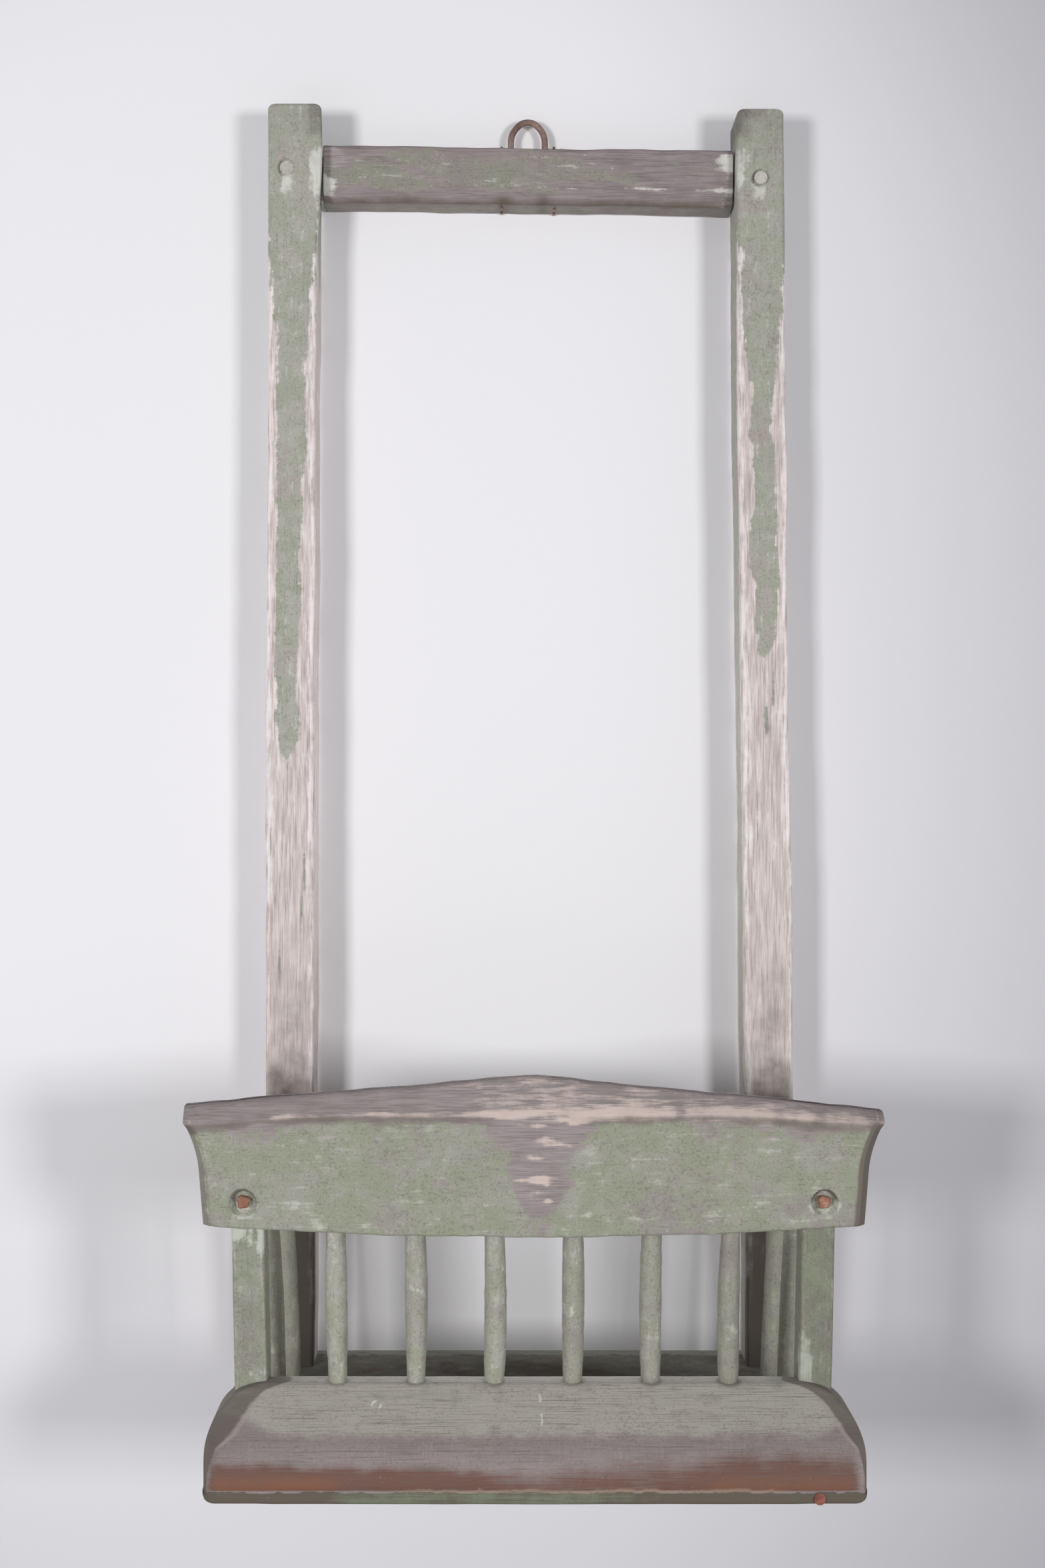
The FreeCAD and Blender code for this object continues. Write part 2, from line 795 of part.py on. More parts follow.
def crest_blank():
    """Crest rail with chamfered front ends and a bevelled band along its top."""
    body = Part.Face(crest_outline()).extrude(V(0, crest_thickness, 0))
    narrowest = min(crest_base_width, crest_waist_width, crest_ear_width)
    ends = []
    for edge in body.Edges:
        on_front = edge.BoundBox.YMax < crest_front_y + through_cut
        at_end = abs(edge.CenterOfMass.x) > narrowest / 2 - through_cut
        if on_front and at_end:
            ends.append(edge)
    body = body.makeChamfer(crest_end_chamfer, ends)
    return body.cut(crest_band()).Solids[0]


def bolt_x(side):
    """Place of a bolt across the seat: the middle of its post."""
    return side * post_x(bolt_z)


def square_block(middle, width, start_y, end_y):
    """Square block along Y, centred on a point's x and z."""
    half = width / 2
    return box((middle.x - half, middle.x + half), (start_y, end_y), (middle.z - half, middle.z + half))


def crest_bolt(side):
    """Bolt with a square head that sits in a recess of the crest rail."""
    seat_y = crest_front_y + bolt_recess_depth
    end_y = post_back_y + washer_thickness + nut_height + bolt_end_proud
    place = V(bolt_x(side), 0, bolt_z)
    head = square_block(place, bolt_head_width, seat_y - bolt_head_height, seat_y)
    shank = rod(V(place.x, seat_y, bolt_z), V(place.x, end_y, bolt_z), bolt_diameter)
    return joined([head, shank])


def bolt_hole(side, start_y, end_y):
    """Clearance hole for a bolt's shank between two depths."""
    start = V(bolt_x(side), start_y, bolt_z)
    end = V(bolt_x(side), end_y, bolt_z)
    return rod(start, end, bolt_diameter + 2 * bolt_clearance)


def bolt_recess(side):
    """Round recess in the crest's front for a bolt's head."""
    start = V(bolt_x(side), crest_front_y - through_cut, bolt_z)
    end = V(bolt_x(side), crest_front_y + bolt_recess_depth, bolt_z)
    return rod(start, end, bolt_recess_diameter)


def bolt_washer(side):
    """Washer behind a post."""
    start = V(bolt_x(side), post_back_y, bolt_z)
    end = V(bolt_x(side), post_back_y + washer_thickness, bolt_z)
    disc = rod(start, end, washer_diameter)
    return cut_away(disc, [bolt_hole(side, start.y - through_cut, end.y + through_cut)])


def bolt_nut(side):
    """Square nut behind a washer."""
    start_y = post_back_y + washer_thickness
    end_y = start_y + nut_height
    block = square_block(V(bolt_x(side), 0, bolt_z), nut_width, start_y, end_y)
    return cut_away(block, [bolt_hole(side, start_y - through_cut, end_y + through_cut)])


# Arms


def arm_tenon(side, y_range, clearance):
    """Arm's tenon between two depths, or its mortise with a clearance all round."""
    middle = side * arm_x(side, sum(y_range) / 2)
    half_x = arm_tenon_width / 2 + clearance
    half_z = arm_tenon_height / 2 + clearance
    return box(
        (middle - half_x, middle + half_x),
        (y_range[0] - clearance, y_range[1] + clearance),
        (arm_middle_z - half_z, arm_middle_z + half_z),
    )


def arm_blank(side):
    """Arm with rounded upper edges and a tenon at each end."""
    half = arm_width / 2
    start_x = arm_x(side, post_back_y)
    end_x = arm_x(side, rail_front_y)
    points = [
        V(side * (start_x - half), post_back_y, arm_base_z),
        V(side * (start_x + half), post_back_y, arm_base_z),
        V(side * (end_x + half), rail_front_y, arm_base_z),
        V(side * (end_x - half), rail_front_y, arm_base_z),
    ]
    face = Part.Face(Part.makePolygon(points + points[:1]))
    body = face.extrude(V(0, 0, arm_height))
    upper = [edge for edge in edges_along(body, V(0, 1, 0)) if edge.CenterOfMass.z > arm_middle_z]
    body = body.makeFillet(arm_round_radius, upper)
    return joined([body, arm_tenon(side, arm_in_post_y, 0), arm_tenon(side, arm_in_rail_y, 0)])


def arm_peg(side, y, middle_x, width, extra):
    """Peg across a post or rail and the arm's tenon, or its hole with extra width."""
    inner = V(side * (middle_x - width / 2), y, arm_middle_z)
    outer = V(side * (middle_x + width / 2), y, arm_middle_z)
    return rod(inner, outer, arm_peg_diameter + 2 * extra)


def arm_pegs(side, extra):
    """The two pegs of one arm: one across the post, one across the rail."""
    in_post = arm_peg(side, sum(arm_in_post_y) / 2, post_x(arm_middle_z), post_width, extra)
    rail_middle_x = rail_x(side, arm_middle_z)
    in_rail = arm_peg(side, sum(arm_in_rail_y) / 2, rail_middle_x, rail_width_on(side), extra)
    return [in_post, in_rail]


# Assembly


def back_spindles():
    """Back spindles with their sockets, from left to right."""
    head_y = (crest_front_y + crest_back_y) / 2
    foot_y = roll_back_y - back_spindle_from_roll_back
    made = []
    for index in range(back_spindle_count):
        step = index - (back_spindle_count - 1) / 2
        head_x = step * back_spindle_pitch_top
        foot = V(step * back_spindle_pitch_base, foot_y, roll_height)
        head = V(head_x, head_y, crest_bottom(head_x))
        made.append(spindle_parts(foot, head))
    return made


def side_spindles(side):
    """Side spindles of one arm with their sockets, from the post to the rail."""
    middle_y = (post_back_y + rail_front_y) / 2
    made = []
    for index in range(side_spindle_count):
        y = middle_y + (index - (side_spindle_count - 1) / 2) * side_spindle_pitch
        head = V(side * arm_x(side, y), y, arm_base_z)
        foot = V(side * (arm_x(side, y) - side_spindle_inward), y, plank_thickness)
        made.append(spindle_parts(foot, head))
    return made


def side_name(side):
    """Name of one side."""
    return "left" if side == LEFT else "right"


nodes = {}
plank_cuts = []
roll_cuts = [roll_rabbet()]
crest_cuts = []
cross_cuts = []

for number, (spindle, foot_socket, head_socket) in enumerate(back_spindles(), start=1):
    nodes["back_spindle_%d" % number] = spindle
    roll_cuts.append(foot_socket)
    crest_cuts.append(head_socket)

for side in (LEFT, RIGHT):
    name = side_name(side)
    arm_cuts = arm_pegs(side, nail_clearance)
    for number, (spindle, foot_socket, head_socket) in enumerate(side_spindles(side), start=1):
        nodes["side_spindle_%s_%d" % (name, number)] = spindle
        plank_cuts.append(foot_socket)
        arm_cuts.append(head_socket)

    peg_holes = arm_pegs(side, nail_clearance)
    nodes["arm_" + name] = cut_away(arm_blank(side), arm_cuts)
    nodes["arm_pegs_" + name] = Part.makeCompound(arm_pegs(side, 0))

    through_post = bolt_hole(side, post_front_y - through_cut, post_back_y + through_cut)
    post_cuts = [arm_tenon(side, arm_in_post_y, mortise_clearance), through_post, peg_holes[0]]
    nodes["back_post_" + name] = cut_away(post_blank(side), post_cuts)
    plank_cuts.append(post_tenon(side, mortise_clearance))
    roll_cuts.extend([post_housing(side), roll_foot_waste(side)])

    through_crest = bolt_hole(side, crest_front_y - through_cut, crest_back_y + through_cut)
    crest_cuts.extend([through_crest, bolt_recess(side)])
    nodes["crest_bolt_" + name] = crest_bolt(side)
    nodes["bolt_washer_" + name] = bolt_washer(side)
    nodes["bolt_nut_" + name] = bolt_nut(side)

    cross_hole = cross_peg(side, nail_clearance)
    foot_hole = foot_peg(side, nail_clearance)
    rail_cuts = [cross_tenon(side, mortise_clearance), arm_tenon(side, arm_in_rail_y, mortise_clearance)]
    rail_cuts.extend([cross_hole, foot_hole, peg_holes[1]])
    nodes["hanger_rail_" + name] = cut_away(rail_blank(side), rail_cuts)
    nodes["cross_rail_peg_" + name] = cross_peg(side, 0)
    nodes["rail_foot_peg_" + name] = foot_peg(side, 0)
    plank_cuts.extend([rail_mortise(side), foot_hole])

    cross_cuts.append(cross_hole)
    cross_cuts.extend(staple_holes(side))
    nodes["ring_staple_" + name] = staple(side)

nail_holes = [plank_nail(index, nail_clearance) for index in range(nail_count)]
nodes["roll_nails"] = Part.makeCompound([plank_nail(index, 0) for index in range(nail_count)])
nodes["lip_nail"] = lip_nail(0)
nodes["seat_plank"] = cut_away(plank_blank(), plank_cuts + nail_holes)
roll_cuts.extend(nail_holes)
roll_cuts.append(lip_nail(nail_clearance))
nodes["seat_roll"] = cut_away(softened_roll(roll_blank()), roll_cuts)
nodes["crest_rail"] = cut_away(crest_blank(), crest_cuts)
nodes["top_cross_rail"] = cut_away(cross_rail_blank(), cross_cuts)
nodes["hang_ring"] = hang_ring()

os.makedirs("parts", exist_ok=True)
for name, shape in nodes.items():
    shape.exportStep("parts/%s.step" % name)
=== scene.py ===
import math

import bmesh
import bpy
import numpy as np
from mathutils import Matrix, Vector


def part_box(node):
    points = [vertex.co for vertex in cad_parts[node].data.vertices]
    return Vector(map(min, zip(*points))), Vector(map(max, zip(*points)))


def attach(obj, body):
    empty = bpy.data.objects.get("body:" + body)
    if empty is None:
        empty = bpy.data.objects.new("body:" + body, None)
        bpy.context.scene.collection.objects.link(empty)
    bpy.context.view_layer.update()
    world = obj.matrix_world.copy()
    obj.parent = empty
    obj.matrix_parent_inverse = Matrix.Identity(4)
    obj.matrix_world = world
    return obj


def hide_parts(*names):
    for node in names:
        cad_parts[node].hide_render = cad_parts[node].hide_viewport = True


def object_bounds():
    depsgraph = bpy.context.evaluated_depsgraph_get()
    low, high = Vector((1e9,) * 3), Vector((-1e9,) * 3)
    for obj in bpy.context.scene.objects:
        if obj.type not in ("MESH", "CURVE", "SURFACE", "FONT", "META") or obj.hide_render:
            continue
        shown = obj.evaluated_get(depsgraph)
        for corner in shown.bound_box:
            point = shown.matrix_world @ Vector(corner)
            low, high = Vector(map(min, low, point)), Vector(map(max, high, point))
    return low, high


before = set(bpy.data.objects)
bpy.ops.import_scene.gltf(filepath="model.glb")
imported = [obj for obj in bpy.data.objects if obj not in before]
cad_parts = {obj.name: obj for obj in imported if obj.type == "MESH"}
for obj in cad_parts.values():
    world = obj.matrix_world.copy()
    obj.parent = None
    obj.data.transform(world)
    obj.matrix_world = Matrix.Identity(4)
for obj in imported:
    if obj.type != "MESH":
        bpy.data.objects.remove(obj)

cad_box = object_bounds()


# Seat plank: one sawn pine board across the seat, once painted, rubbed and dirty now.
# Its side edges are rounded over, and the rails and posts are mortised into it.


def smooth(low, high, value):
    """Eased step: 0 at low, 1 at high, 3t^2 - 2t^3 between; low may be the larger."""
    t = np.clip((value - low) / (high - low), 0, 1)
    return t * t * (3 - 2 * t)


def wander(along, seed, wave):
    """Uneven hand-made line, about -1 to 1: five sines, each shorter and weaker, with seeded phases."""
    draw = np.random.default_rng(seed)
    total = 0.0
    for step in range(1, 6):
        turn = draw.uniform(0, 2 * np.pi)
        total = total + np.sin(2 * np.pi * along * step ** 1.3 / wave + turn) / step
    return total / 1.6


def rounded_section(wide, deep, radius, across, down, arc=6):
    """Loop of a board's section from its half width, half depth and corner radius, each (loops, 1).

    A point is k * (half size - radius) + radius * (cos, sin): k walks the flat sides, and the
    angle turns at the corners. Also gives each point's distance along the face to an arris."""
    signs = [(1, 1), (-1, 1), (-1, -1), (1, -1)]
    k_wide, k_deep, angle = [], [], []
    for corner, (here_a, here_b) in enumerate(signs):
        next_a, next_b = signs[(corner + 1) % 4]
        turn = (corner + np.linspace(0, 1, arc)) * np.pi / 2
        steps = across if corner % 2 == 0 else down
        walk = np.arange(1, steps) / steps
        k_wide += [np.full(arc, here_a), here_a + (next_a - here_a) * walk]
        k_deep += [np.full(arc, here_b), here_b + (next_b - here_b) * walk]
        angle += [turn, np.full(steps - 1, turn[-1])]
    k_wide, k_deep, angle = (np.concatenate(part)[None, :] for part in (k_wide, k_deep, angle))
    a = k_wide * (wide - radius) + np.cos(angle) * radius
    b = k_deep * (deep - radius) + np.sin(angle) * radius
    to_arris = (1 - np.abs(k_wide)) * (wide - radius) + (1 - np.abs(k_deep)) * (deep - radius)
    return a, b, to_arris


def rounded_ends(start, end, radius, step):
    """Places along a bar and how far the section is drawn in there: a quarter circle at each end.

    Both come as (loops, 1). One more loop, drawn in further, keeps each end face flat."""
    turn = np.linspace(0, np.pi / 2, 6)
    count = max(2, int(round((end - start - 2 * radius) / step)))
    middle = np.linspace(start + radius, end - radius, count + 1)[1:-1]
    low = start + radius * (1 - np.cos(turn))
    high = end - radius * (1 - np.cos(turn[::-1]))
    drawn = radius * (1 - np.sin(turn))
    flat = np.array([2.2 * radius])
    places = np.concatenate([[start], low, middle, high, [end]])
    inset = np.concatenate([flat, drawn, np.zeros(count - 1), drawn[::-1], flat])
    return places[:, None], inset[:, None]


def placed(name, data, location=(0, 0, 0), turn=(0, 0, 0)):
    """Puts a mesh, lamp or camera into the scene."""
    thing = bpy.data.objects.new(name, data)
    thing.location = location
    thing.rotation_euler = turn
    bpy.context.scene.collection.objects.link(thing)
    return thing


def skin(name, rings, marks, material, fans=True):
    """Closed mesh over a stack of loops, an array (loop, point, xyz), with marks kept as attributes.

    Quads join neighbouring loops, and a fan closes the first and last loop to their middles.
    Without fans the end loops have folded onto themselves, and merging closes them. A mark is a
    number, or an array with a value for each loop, or for each loop and point."""
    loops, points = rings.shape[:2]
    grid = np.arange(loops * points).reshape(loops, points)
    beside = np.roll(grid, -1, axis=1)
    faces = np.stack([grid[:-1], beside[:-1], beside[1:], grid[1:]], -1).reshape(-1, 4).tolist()
    places = rings.reshape(-1, 3)
    if fans:
        places = np.vstack([places, rings[[0, -1]].mean(axis=1)])
        for row, pole in ((0, loops * points), (-1, loops * points + 1)):
            faces += np.stack([grid[row], beside[row], np.full(points, pole)], -1).tolist()
    mesh = bpy.data.meshes.new(name)
    mesh.from_pydata(places.tolist(), [], faces)
    for mark, values in marks.items():
        values = np.broadcast_to(values, (loops, points))
        every = values.ravel()
        if fans:
            every = np.concatenate([every, values[[0, -1]].mean(axis=1)])
        layer = mesh.attributes.new(mark, "FLOAT", "POINT")
        layer.data.foreach_set("value", every.astype(np.float32))
    shell = bmesh.new()
    shell.from_mesh(mesh)
    bmesh.ops.remove_doubles(shell, verts=shell.verts, dist=1e-6)
    bmesh.ops.recalc_face_normals(shell, faces=shell.faces)
    shell.to_mesh(mesh)
    shell.free()
    mesh.shade_smooth()
    mesh.materials.append(material)
    return placed(name, mesh)


def linear(code, share=1.0):
    """Linear colour from an sRGB hex value, darkened by a share."""
    parts = [int(code[i:i + 2], 16) / 255 for i in (1, 3, 5)]
    return [share * (c / 12.92 if c <= 0.04045 else ((c + 0.055) / 1.055) ** 2.4) for c in parts] + [1]


def add(tree, kind, inputs, out=0, **settings):
    """Adds one shader node and gives its output; inputs holds a value or an output for each socket."""
    node = tree.nodes.new(kind)
    for key, value in settings.items():
        setattr(node, key, value)
    for socket, given in inputs.items():
        if isinstance(given, bpy.types.NodeSocket):
            tree.links.new(given, node.inputs[socket])
        else:
            node.inputs[socket].default_value = given
    return node.outputs[out]


def patterns_of(tree, noises, marks):
    """Outputs by name: noises as (name, grain size along x, y and z, detail, roughness), and mesh marks."""
    place = add(tree, "ShaderNodeTexCoord", {}, "Object")
    found = {}
    for number, (word, size, detail, rough) in enumerate(noises):
        scale = [1 / length for length in size]
        apart = [3.7 * number] * 3
        moved = add(tree, "ShaderNodeMapping", {"Vector": place, "Scale": scale, "Location": apart})
        settings = {"Vector": moved, "Scale": 1, "Detail": detail, "Roughness": rough}
        found[word] = add(tree, "ShaderNodeTexNoise", settings)
    for word in marks:
        found[word] = add(tree, "ShaderNodeAttribute", {}, "Fac", attribute_name=word)
    return found


def summed(tree, found, weights):
    """Output that adds up patterns, each times its weight."""
    total = 0.0
    for word, weight in weights.items():
        terms = {0: found[word], 1: weight, 2: total}
        total = add(tree, "ShaderNodeMath", terms, operation="MULTIPLY_ADD")
    return total


def laid(tree, found, base, layers):
    """Lays tones over a base colour, each where a weighted sum of patterns passes from start to whole.

    A layer is (start, whole, greatest share, tone, weights by pattern name). A tone is an sRGB hex
    value, a linear colour or another output."""
    for start, whole, most, tone, weights in layers:
        total = summed(tree, found, weights)
        tone = linear(tone) if isinstance(tone, str) else tone
        limits = {"Value": total, "From Min": start, "From Max": whole, "To Max": most}
        share = add(tree, "ShaderNodeMapRange", limits, interpolation_type="SMOOTHSTEP")
        base = add(tree, "ShaderNodeMix", {0: share, 6: base, 7: tone}, 2, data_type="RGBA")
    return base


def new_finish(name):
    """Starts a node material and gives it with its node tree."""
    material = bpy.data.materials.new(name)
    material.use_nodes = True
    return material, material.node_tree


def surfaced(tree, colour, rough, height, relief, strength):
    """Connects colour, roughness and a bump, with its relief in metres, to a tree's shader."""
    bump = add(tree, "ShaderNodeBump", {"Height": height, "Strength": strength, "Distance": relief})
    shader = tree.nodes["Principled BSDF"]
    for socket, output in (("Base Color", colour), ("Roughness", rough), ("Normal", bump)):
        tree.links.new(output, shader.inputs[socket])
    return shader


def weathered_paint(name, grain, paint, wood, fresh, chalk, grime, sheen=0.2, fray=1.0):
    """Old linseed paint brushed thin on pine: mottled, specked and rubbed through to weathered fibre.

    grain is the fibre's direction. paint is three tones: sound, chalked and thin. wood is two
    tones, furrow and ridge, and fresh is newly rubbed wood. The marks bare, fresh, pale and dirt
    on the mesh say where paint is gone, wood is newly rubbed, chalky or grimy; noise at the size
    of flakes and fibres, weighed by fray, roughens every border. The eye sees matt, cloudy paint
    and soft ridged wood. Single fibres are too fine to show, so they are drawn 0.8 mm wide."""
    # Where a caller puts painted shade into the dirt mark or painted light into the pale mark, they are laid
    # the same way.
    fibre_width, fibre_length = 0.0008, 0.022
    streak_width, streak_length = 0.0034, 0.030
    mottle, cloud, flake, speck = 0.017, 0.040, 0.009, 0.0013
    fibre_size = [fibre_length if axis == grain else fibre_width for axis in "XYZ"]
    streak_size = [streak_length if axis == grain else streak_width for axis in "XYZ"]
    material, tree = new_finish(name)
    found = patterns_of(tree, [
        ("fibre", fibre_size, 4, 0.6),
        ("streak", streak_size, 6, 0.66),
        ("mottle", [mottle] * 3, 6, 0.62),
        ("cloud", [cloud] * 3, 5, 0.6),
        ("flakes", [flake] * 3, 8, 0.72),
        ("specks", [speck] * 3, 2, 0.5),
    ], ["bare", "fresh", "pale", "dirt"])
    coat = laid(tree, found, linear(paint[0]), [
        (0.60, 0.78, 1.0, paint[1], {"mottle": 1, "flakes": 0.35}),
        (0.84, 1.06, 0.85, paint[2], {"cloud": 1, "mottle": 0.6, "streak": 0.1}),
        (0.88, 1.00, 0.45, chalk, {"streak": 1, "flakes": 0.6}),
        (0.90, 1.12, 0.45, chalk, {"specks": 1, "flakes": 0.6}),
        (0.72, 0.52, 0.55, linear(paint[2], 0.55), {"specks": 1, "flakes": 0.5}),
        (0.62, 0.44, 0.55, linear(paint[2], 0.6), {"fibre": 1, "streak": 0.5}),
    ])
    timber = laid(tree, found, linear(wood[0]), [
        (0.66, 1.04, 1.0, wood[1], {"fibre": 1, "streak": 0.7}),
        (1.38, 1.84, 1.0, fresh, {"fresh": 1, "streak": 1.2, "flakes": 0.6, "fibre": 0.4}),
        (0.40, 0.26, 0.65, linear(wood[0], 0.6), {"fibre": 0.5, "streak": 0.5}),
    ])
    even = 0.95 * fray
    torn = {"bare": 1, "flakes": fray, "streak": 0.55 * fray, "fibre": 0.35 * fray}
    colour = laid(tree, found, coat, [
        (even + 0.35, even + 0.65, 1.0, timber, torn),
        (1.27, 1.55, 0.9, chalk, {"pale": 1, "flakes": 1.2, "streak": 0.7}),
        (0.72, 1.75, 1.0, grime, {"dirt": 1, "mottle": 0.9, "fibre": 0.5}),
        (0.47, 0.24, 0.30, grime, {"fibre": 1}),
    ])
    height = summed(tree, found, {"fibre": 1, "specks": 0.25, "flakes": 0.5})
    rough = add(tree, "ShaderNodeMapRange", {"Value": found["specks"], "To Min": 0.66, "To Max": 0.96})
    shader = surfaced(tree, colour, rough, height, 0.0005, 0.6)
    shader.inputs["Specular IOR Level"].default_value = sheen
    return material


plank_low, plank_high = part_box("seat_plank")
roll_low, roll_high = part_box("seat_roll")
plank_edge = 0.006
plank_corner = 0.010
plank_under_roll = 0.010
plank_clear = 0.00015
plank_y, plank_inset = rounded_ends(roll_high.y - plank_under_roll, plank_high.y, plank_corner, 0.006)
plank_half = (plank_high.x - plank_low.x) / 2 - plank_inset
plank_deep = (plank_high.z - plank_low.z) / 2
plank_round = np.full_like(plank_y, plank_edge)
a, b, to_arris = rounded_section(plank_half, plank_deep - plank_clear, plank_round, 90, 8)
side_wave = 0.0006 * wander(plank_y, 11, 0.13)
plank_rings = np.stack([
    a + np.sign(a) * side_wave,
    np.broadcast_to(plank_y, a.shape),
    b + plank_deep + 0.0001,
], -1)
# Feet and hands rub the arrises. The darker middle is partly grime and partly painted shade, and the paler
# far edge is painted light.
off_middle = np.abs(a)
plank_marks = {
    "bare": 0.75 * np.exp(-to_arris / 0.006) + 0.2 * smooth(0.16, 0.05, off_middle),
    "pale": 0.7 * smooth(0.112, 0.134, plank_y),
    "dirt": 0.78 + 0.14 * wander(a + 2 * plank_y, 12, 0.21) - 0.42 * smooth(0.02, 0.13, off_middle)
    - 0.3 * smooth(0.185, 0.197, off_middle) - 0.6 * smooth(0.080, 0.137, plank_y),
}
# Thin paint with no gloss left: the eye sees a dull, dark board with paler edges; its grime tone also serves
# for the painted shade in the middle.
plank_wood = weathered_paint(
    "thin_paint_on_sawn_pine", "X", paint=("#7b7c72", "#87857f", "#776f6a"), wood=("#6b615b", "#857a73"),
    fresh="#998d85", chalk="#9fa098", grime="#524c47", sheen=0.0)
plank = skin("plank_board", plank_rings, plank_marks, plank_wood)
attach(plank, "seat_frame")
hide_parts("seat_plank")


# Seat roll: a block of pine planed to a slope and a round nose, nailed along the plank.
# The slope keeps grey-green paint, and sitters have rubbed the nose to bare brown wood.


def bell(value, width):
    """Bell curve: 1 at zero, falling to both sides as exp(-(value / width)^2)."""
    return np.exp(-(value / width) ** 2)


def between(start, whole, fade, gone, value):
    """Eased band: 0 before start, 1 from whole to fade, and 0 again past gone."""
    return smooth(start, whole, value) * smooth(gone, fade, value)


def roll_profile(step):
    """Closed section of the roll as (y, z) points, evenly spaced, and how far down its face each lies.

    Straight runs join the back, the lip and the flat strip; between slope and ridge the
    line follows a circle about the nose's centre. Averaging neighbours softens the corners."""
    slope = math.radians(32)
    strip = 0.018
    ridge_z = 0.009
    setback = 0.0015
    arris_y = roll_high.y - strip
    rise = roll_high.z - ridge_z
    run = arris_y - roll_low.y
    nose = (rise - run * math.tan(slope)) / (math.cos(slope) - math.tan(slope) * (1 - math.sin(slope)))
    turn = np.linspace(0, math.pi / 2 - slope, 24)
    nose_y = roll_low.y + nose - nose * np.cos(turn)
    nose_z = ridge_z + nose * np.sin(turn)
    lip_y = roll_low.y + setback
    corners_y = np.concatenate([[roll_high.y, lip_y, lip_y], nose_y, [arris_y, roll_high.y, roll_high.y]])
    corners_z = np.concatenate([[0, 0, ridge_z - setback], nose_z, [roll_high.z, roll_high.z, 0]])
    length = np.concatenate([[0], np.cumsum(np.hypot(np.diff(corners_y), np.diff(corners_z)))])
    even = np.arange(0, length[-1], step)
    y = np.interp(even, length, corners_y)
    z = np.interp(even, length, corners_z)
    for _ in range(3):
        y = (np.roll(y, 1) + 2 * y + np.roll(y, -1)) / 4
        z = (np.roll(z, 1) + 2 * z + np.roll(z, -1)) / 4
    lip_at = length[1]
    arris_at = length[-3]
    return y, z, (arris_at - even) / (arris_at - lip_at)


def drawn_back(to_end, radius):
    """How far a quarter circle draws back near an end: radius * (1 - sqrt(1 - (1 - d / radius)^2))."""
    past = np.clip(1 - to_end / radius, 0, 1)
    return radius * (1 - np.sqrt(1 - past ** 2))


# The section is carried across the seat and clipped by the front outline, a quarter ellipse at
# each upper end. A flat facet is then pared off along the outline, wider on the left.
roll_half = roll_high.x
roll_columns = 470
end_wide, end_low, end_rise = 0.034, 0.030, 0.028
foot_round = 0.008
nose_round = 0.006
facet_sink = 0.004
facet_heights = [0.010, 0.018, 0.025, 0.031, 0.037, 0.046, 0.058]
facet_widths = [0.003, 0.0035, 0.0055, 0.008, 0.016, 0.019, 0.016]
section_y, section_z, section_down = roll_profile(0.0015)
roll_x = roll_half * np.sin(np.linspace(-np.pi / 2, np.pi / 2, roll_columns))[:, None]
to_end = roll_half - np.abs(roll_x)
near_end = smooth(0.045, 0.030, to_end)
end_top = end_low + end_rise * np.sqrt(1 - np.clip(1 - to_end / end_wide, 0, 1) ** 2)
worn_hollow = 0.0004 * wander(roll_x + 0.3 * section_z, 21, 0.23)
roll_y = np.maximum(section_y + worn_hollow * (1 - near_end), roll_low.y + drawn_back(to_end, nose_round))
roll_z = np.clip(section_z, drawn_back(to_end, foot_round), end_top)
up_ellipse = np.clip((section_z - end_low) / end_rise, 0, 1)
outline_x = roll_half - end_wide + end_wide * np.sqrt(1 - up_ellipse ** 2)
to_outline = outline_x - np.abs(roll_x)
facet_share = np.where(roll_x < 0, 1.0, 0.65)
facet = facet_share * np.interp(section_z, facet_heights, facet_widths)
in_facet = np.clip(1 - to_outline / facet, 0, 1)
faces_out = between(0.06, 0.12, 0.9, 1.0, section_down)
roll_y = roll_y + facet_sink * facet_share * in_facet * faces_out
for _ in range(4):
    for part in (roll_y, roll_z):
        around = (np.roll(part, 1, axis=1) + np.roll(part, -1, axis=1)) / 2
        part += near_end * (around - part) / 2
closing = 0.9
roll_rings = np.stack([np.broadcast_to(roll_x, roll_z.shape), roll_y, roll_z], -1)
end_rings = roll_rings[[0, -1]]
caps = end_rings.mean(axis=1, keepdims=True) * (1 - closing) + end_rings * closing
roll_rings = np.concatenate([caps[:1], roll_rings, caps[1:]])

# Wear runs in bands down the face: paint, grey scuffs that climb towards the ends, brown wood
# on the nose, brightest near the ends, and the lip with its green paint.
down = np.broadcast_to(section_down, roll_z.shape)
face_length = 0.083
climb = 0.20 * smooth(-0.148, -0.186, roll_x) + 0.10 * smooth(0.160, 0.188, roll_x)
spindle_feet = [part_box("back_spindle_%d" % number) for number in range(1, 7)]
foot_places = np.array([(low.x + high.x) / 2 for low, high in spindle_feet])
to_foot = np.abs(roll_x[:, :, None] - foot_places).min(axis=2)
by_foot = smooth(0.010, 0.006, np.hypot(to_foot, (down + 0.06) * 0.08))
brown_top = 0.715 + 0.030 * smooth(-0.16, -0.03, roll_x) - 0.090 * smooth(0.0, 0.12, roll_x)
brown_top = brown_top + 0.02 * wander(roll_x, 22, 0.11)
brown_soft = 0.085 + 0.085 * smooth(-0.08, 0.10, roll_x)
on_nose = smooth(brown_top - brown_soft, brown_top + brown_soft, down) * smooth(0.905, 0.880, down)
left_end = smooth(-0.1955, -0.187, roll_x)
right_end = smooth(0.1955, 0.185, roll_x)
brown_share = 0.95 - 0.25 * smooth(-0.06, 0.0, roll_x) + 0.20 * smooth(0.06, 0.12, roll_x)
left_vivid = left_end * smooth(-0.085, -0.130, roll_x)
right_vivid = 0.85 * right_end * smooth(0.075, 0.115, roll_x)
middle_vivid = 0.5 * bell(roll_x - 0.005, 0.03) + 0.55 * bell(roll_x + 0.075, 0.025)
vivid_run = np.maximum(left_vivid, np.maximum(right_vivid, middle_vivid))
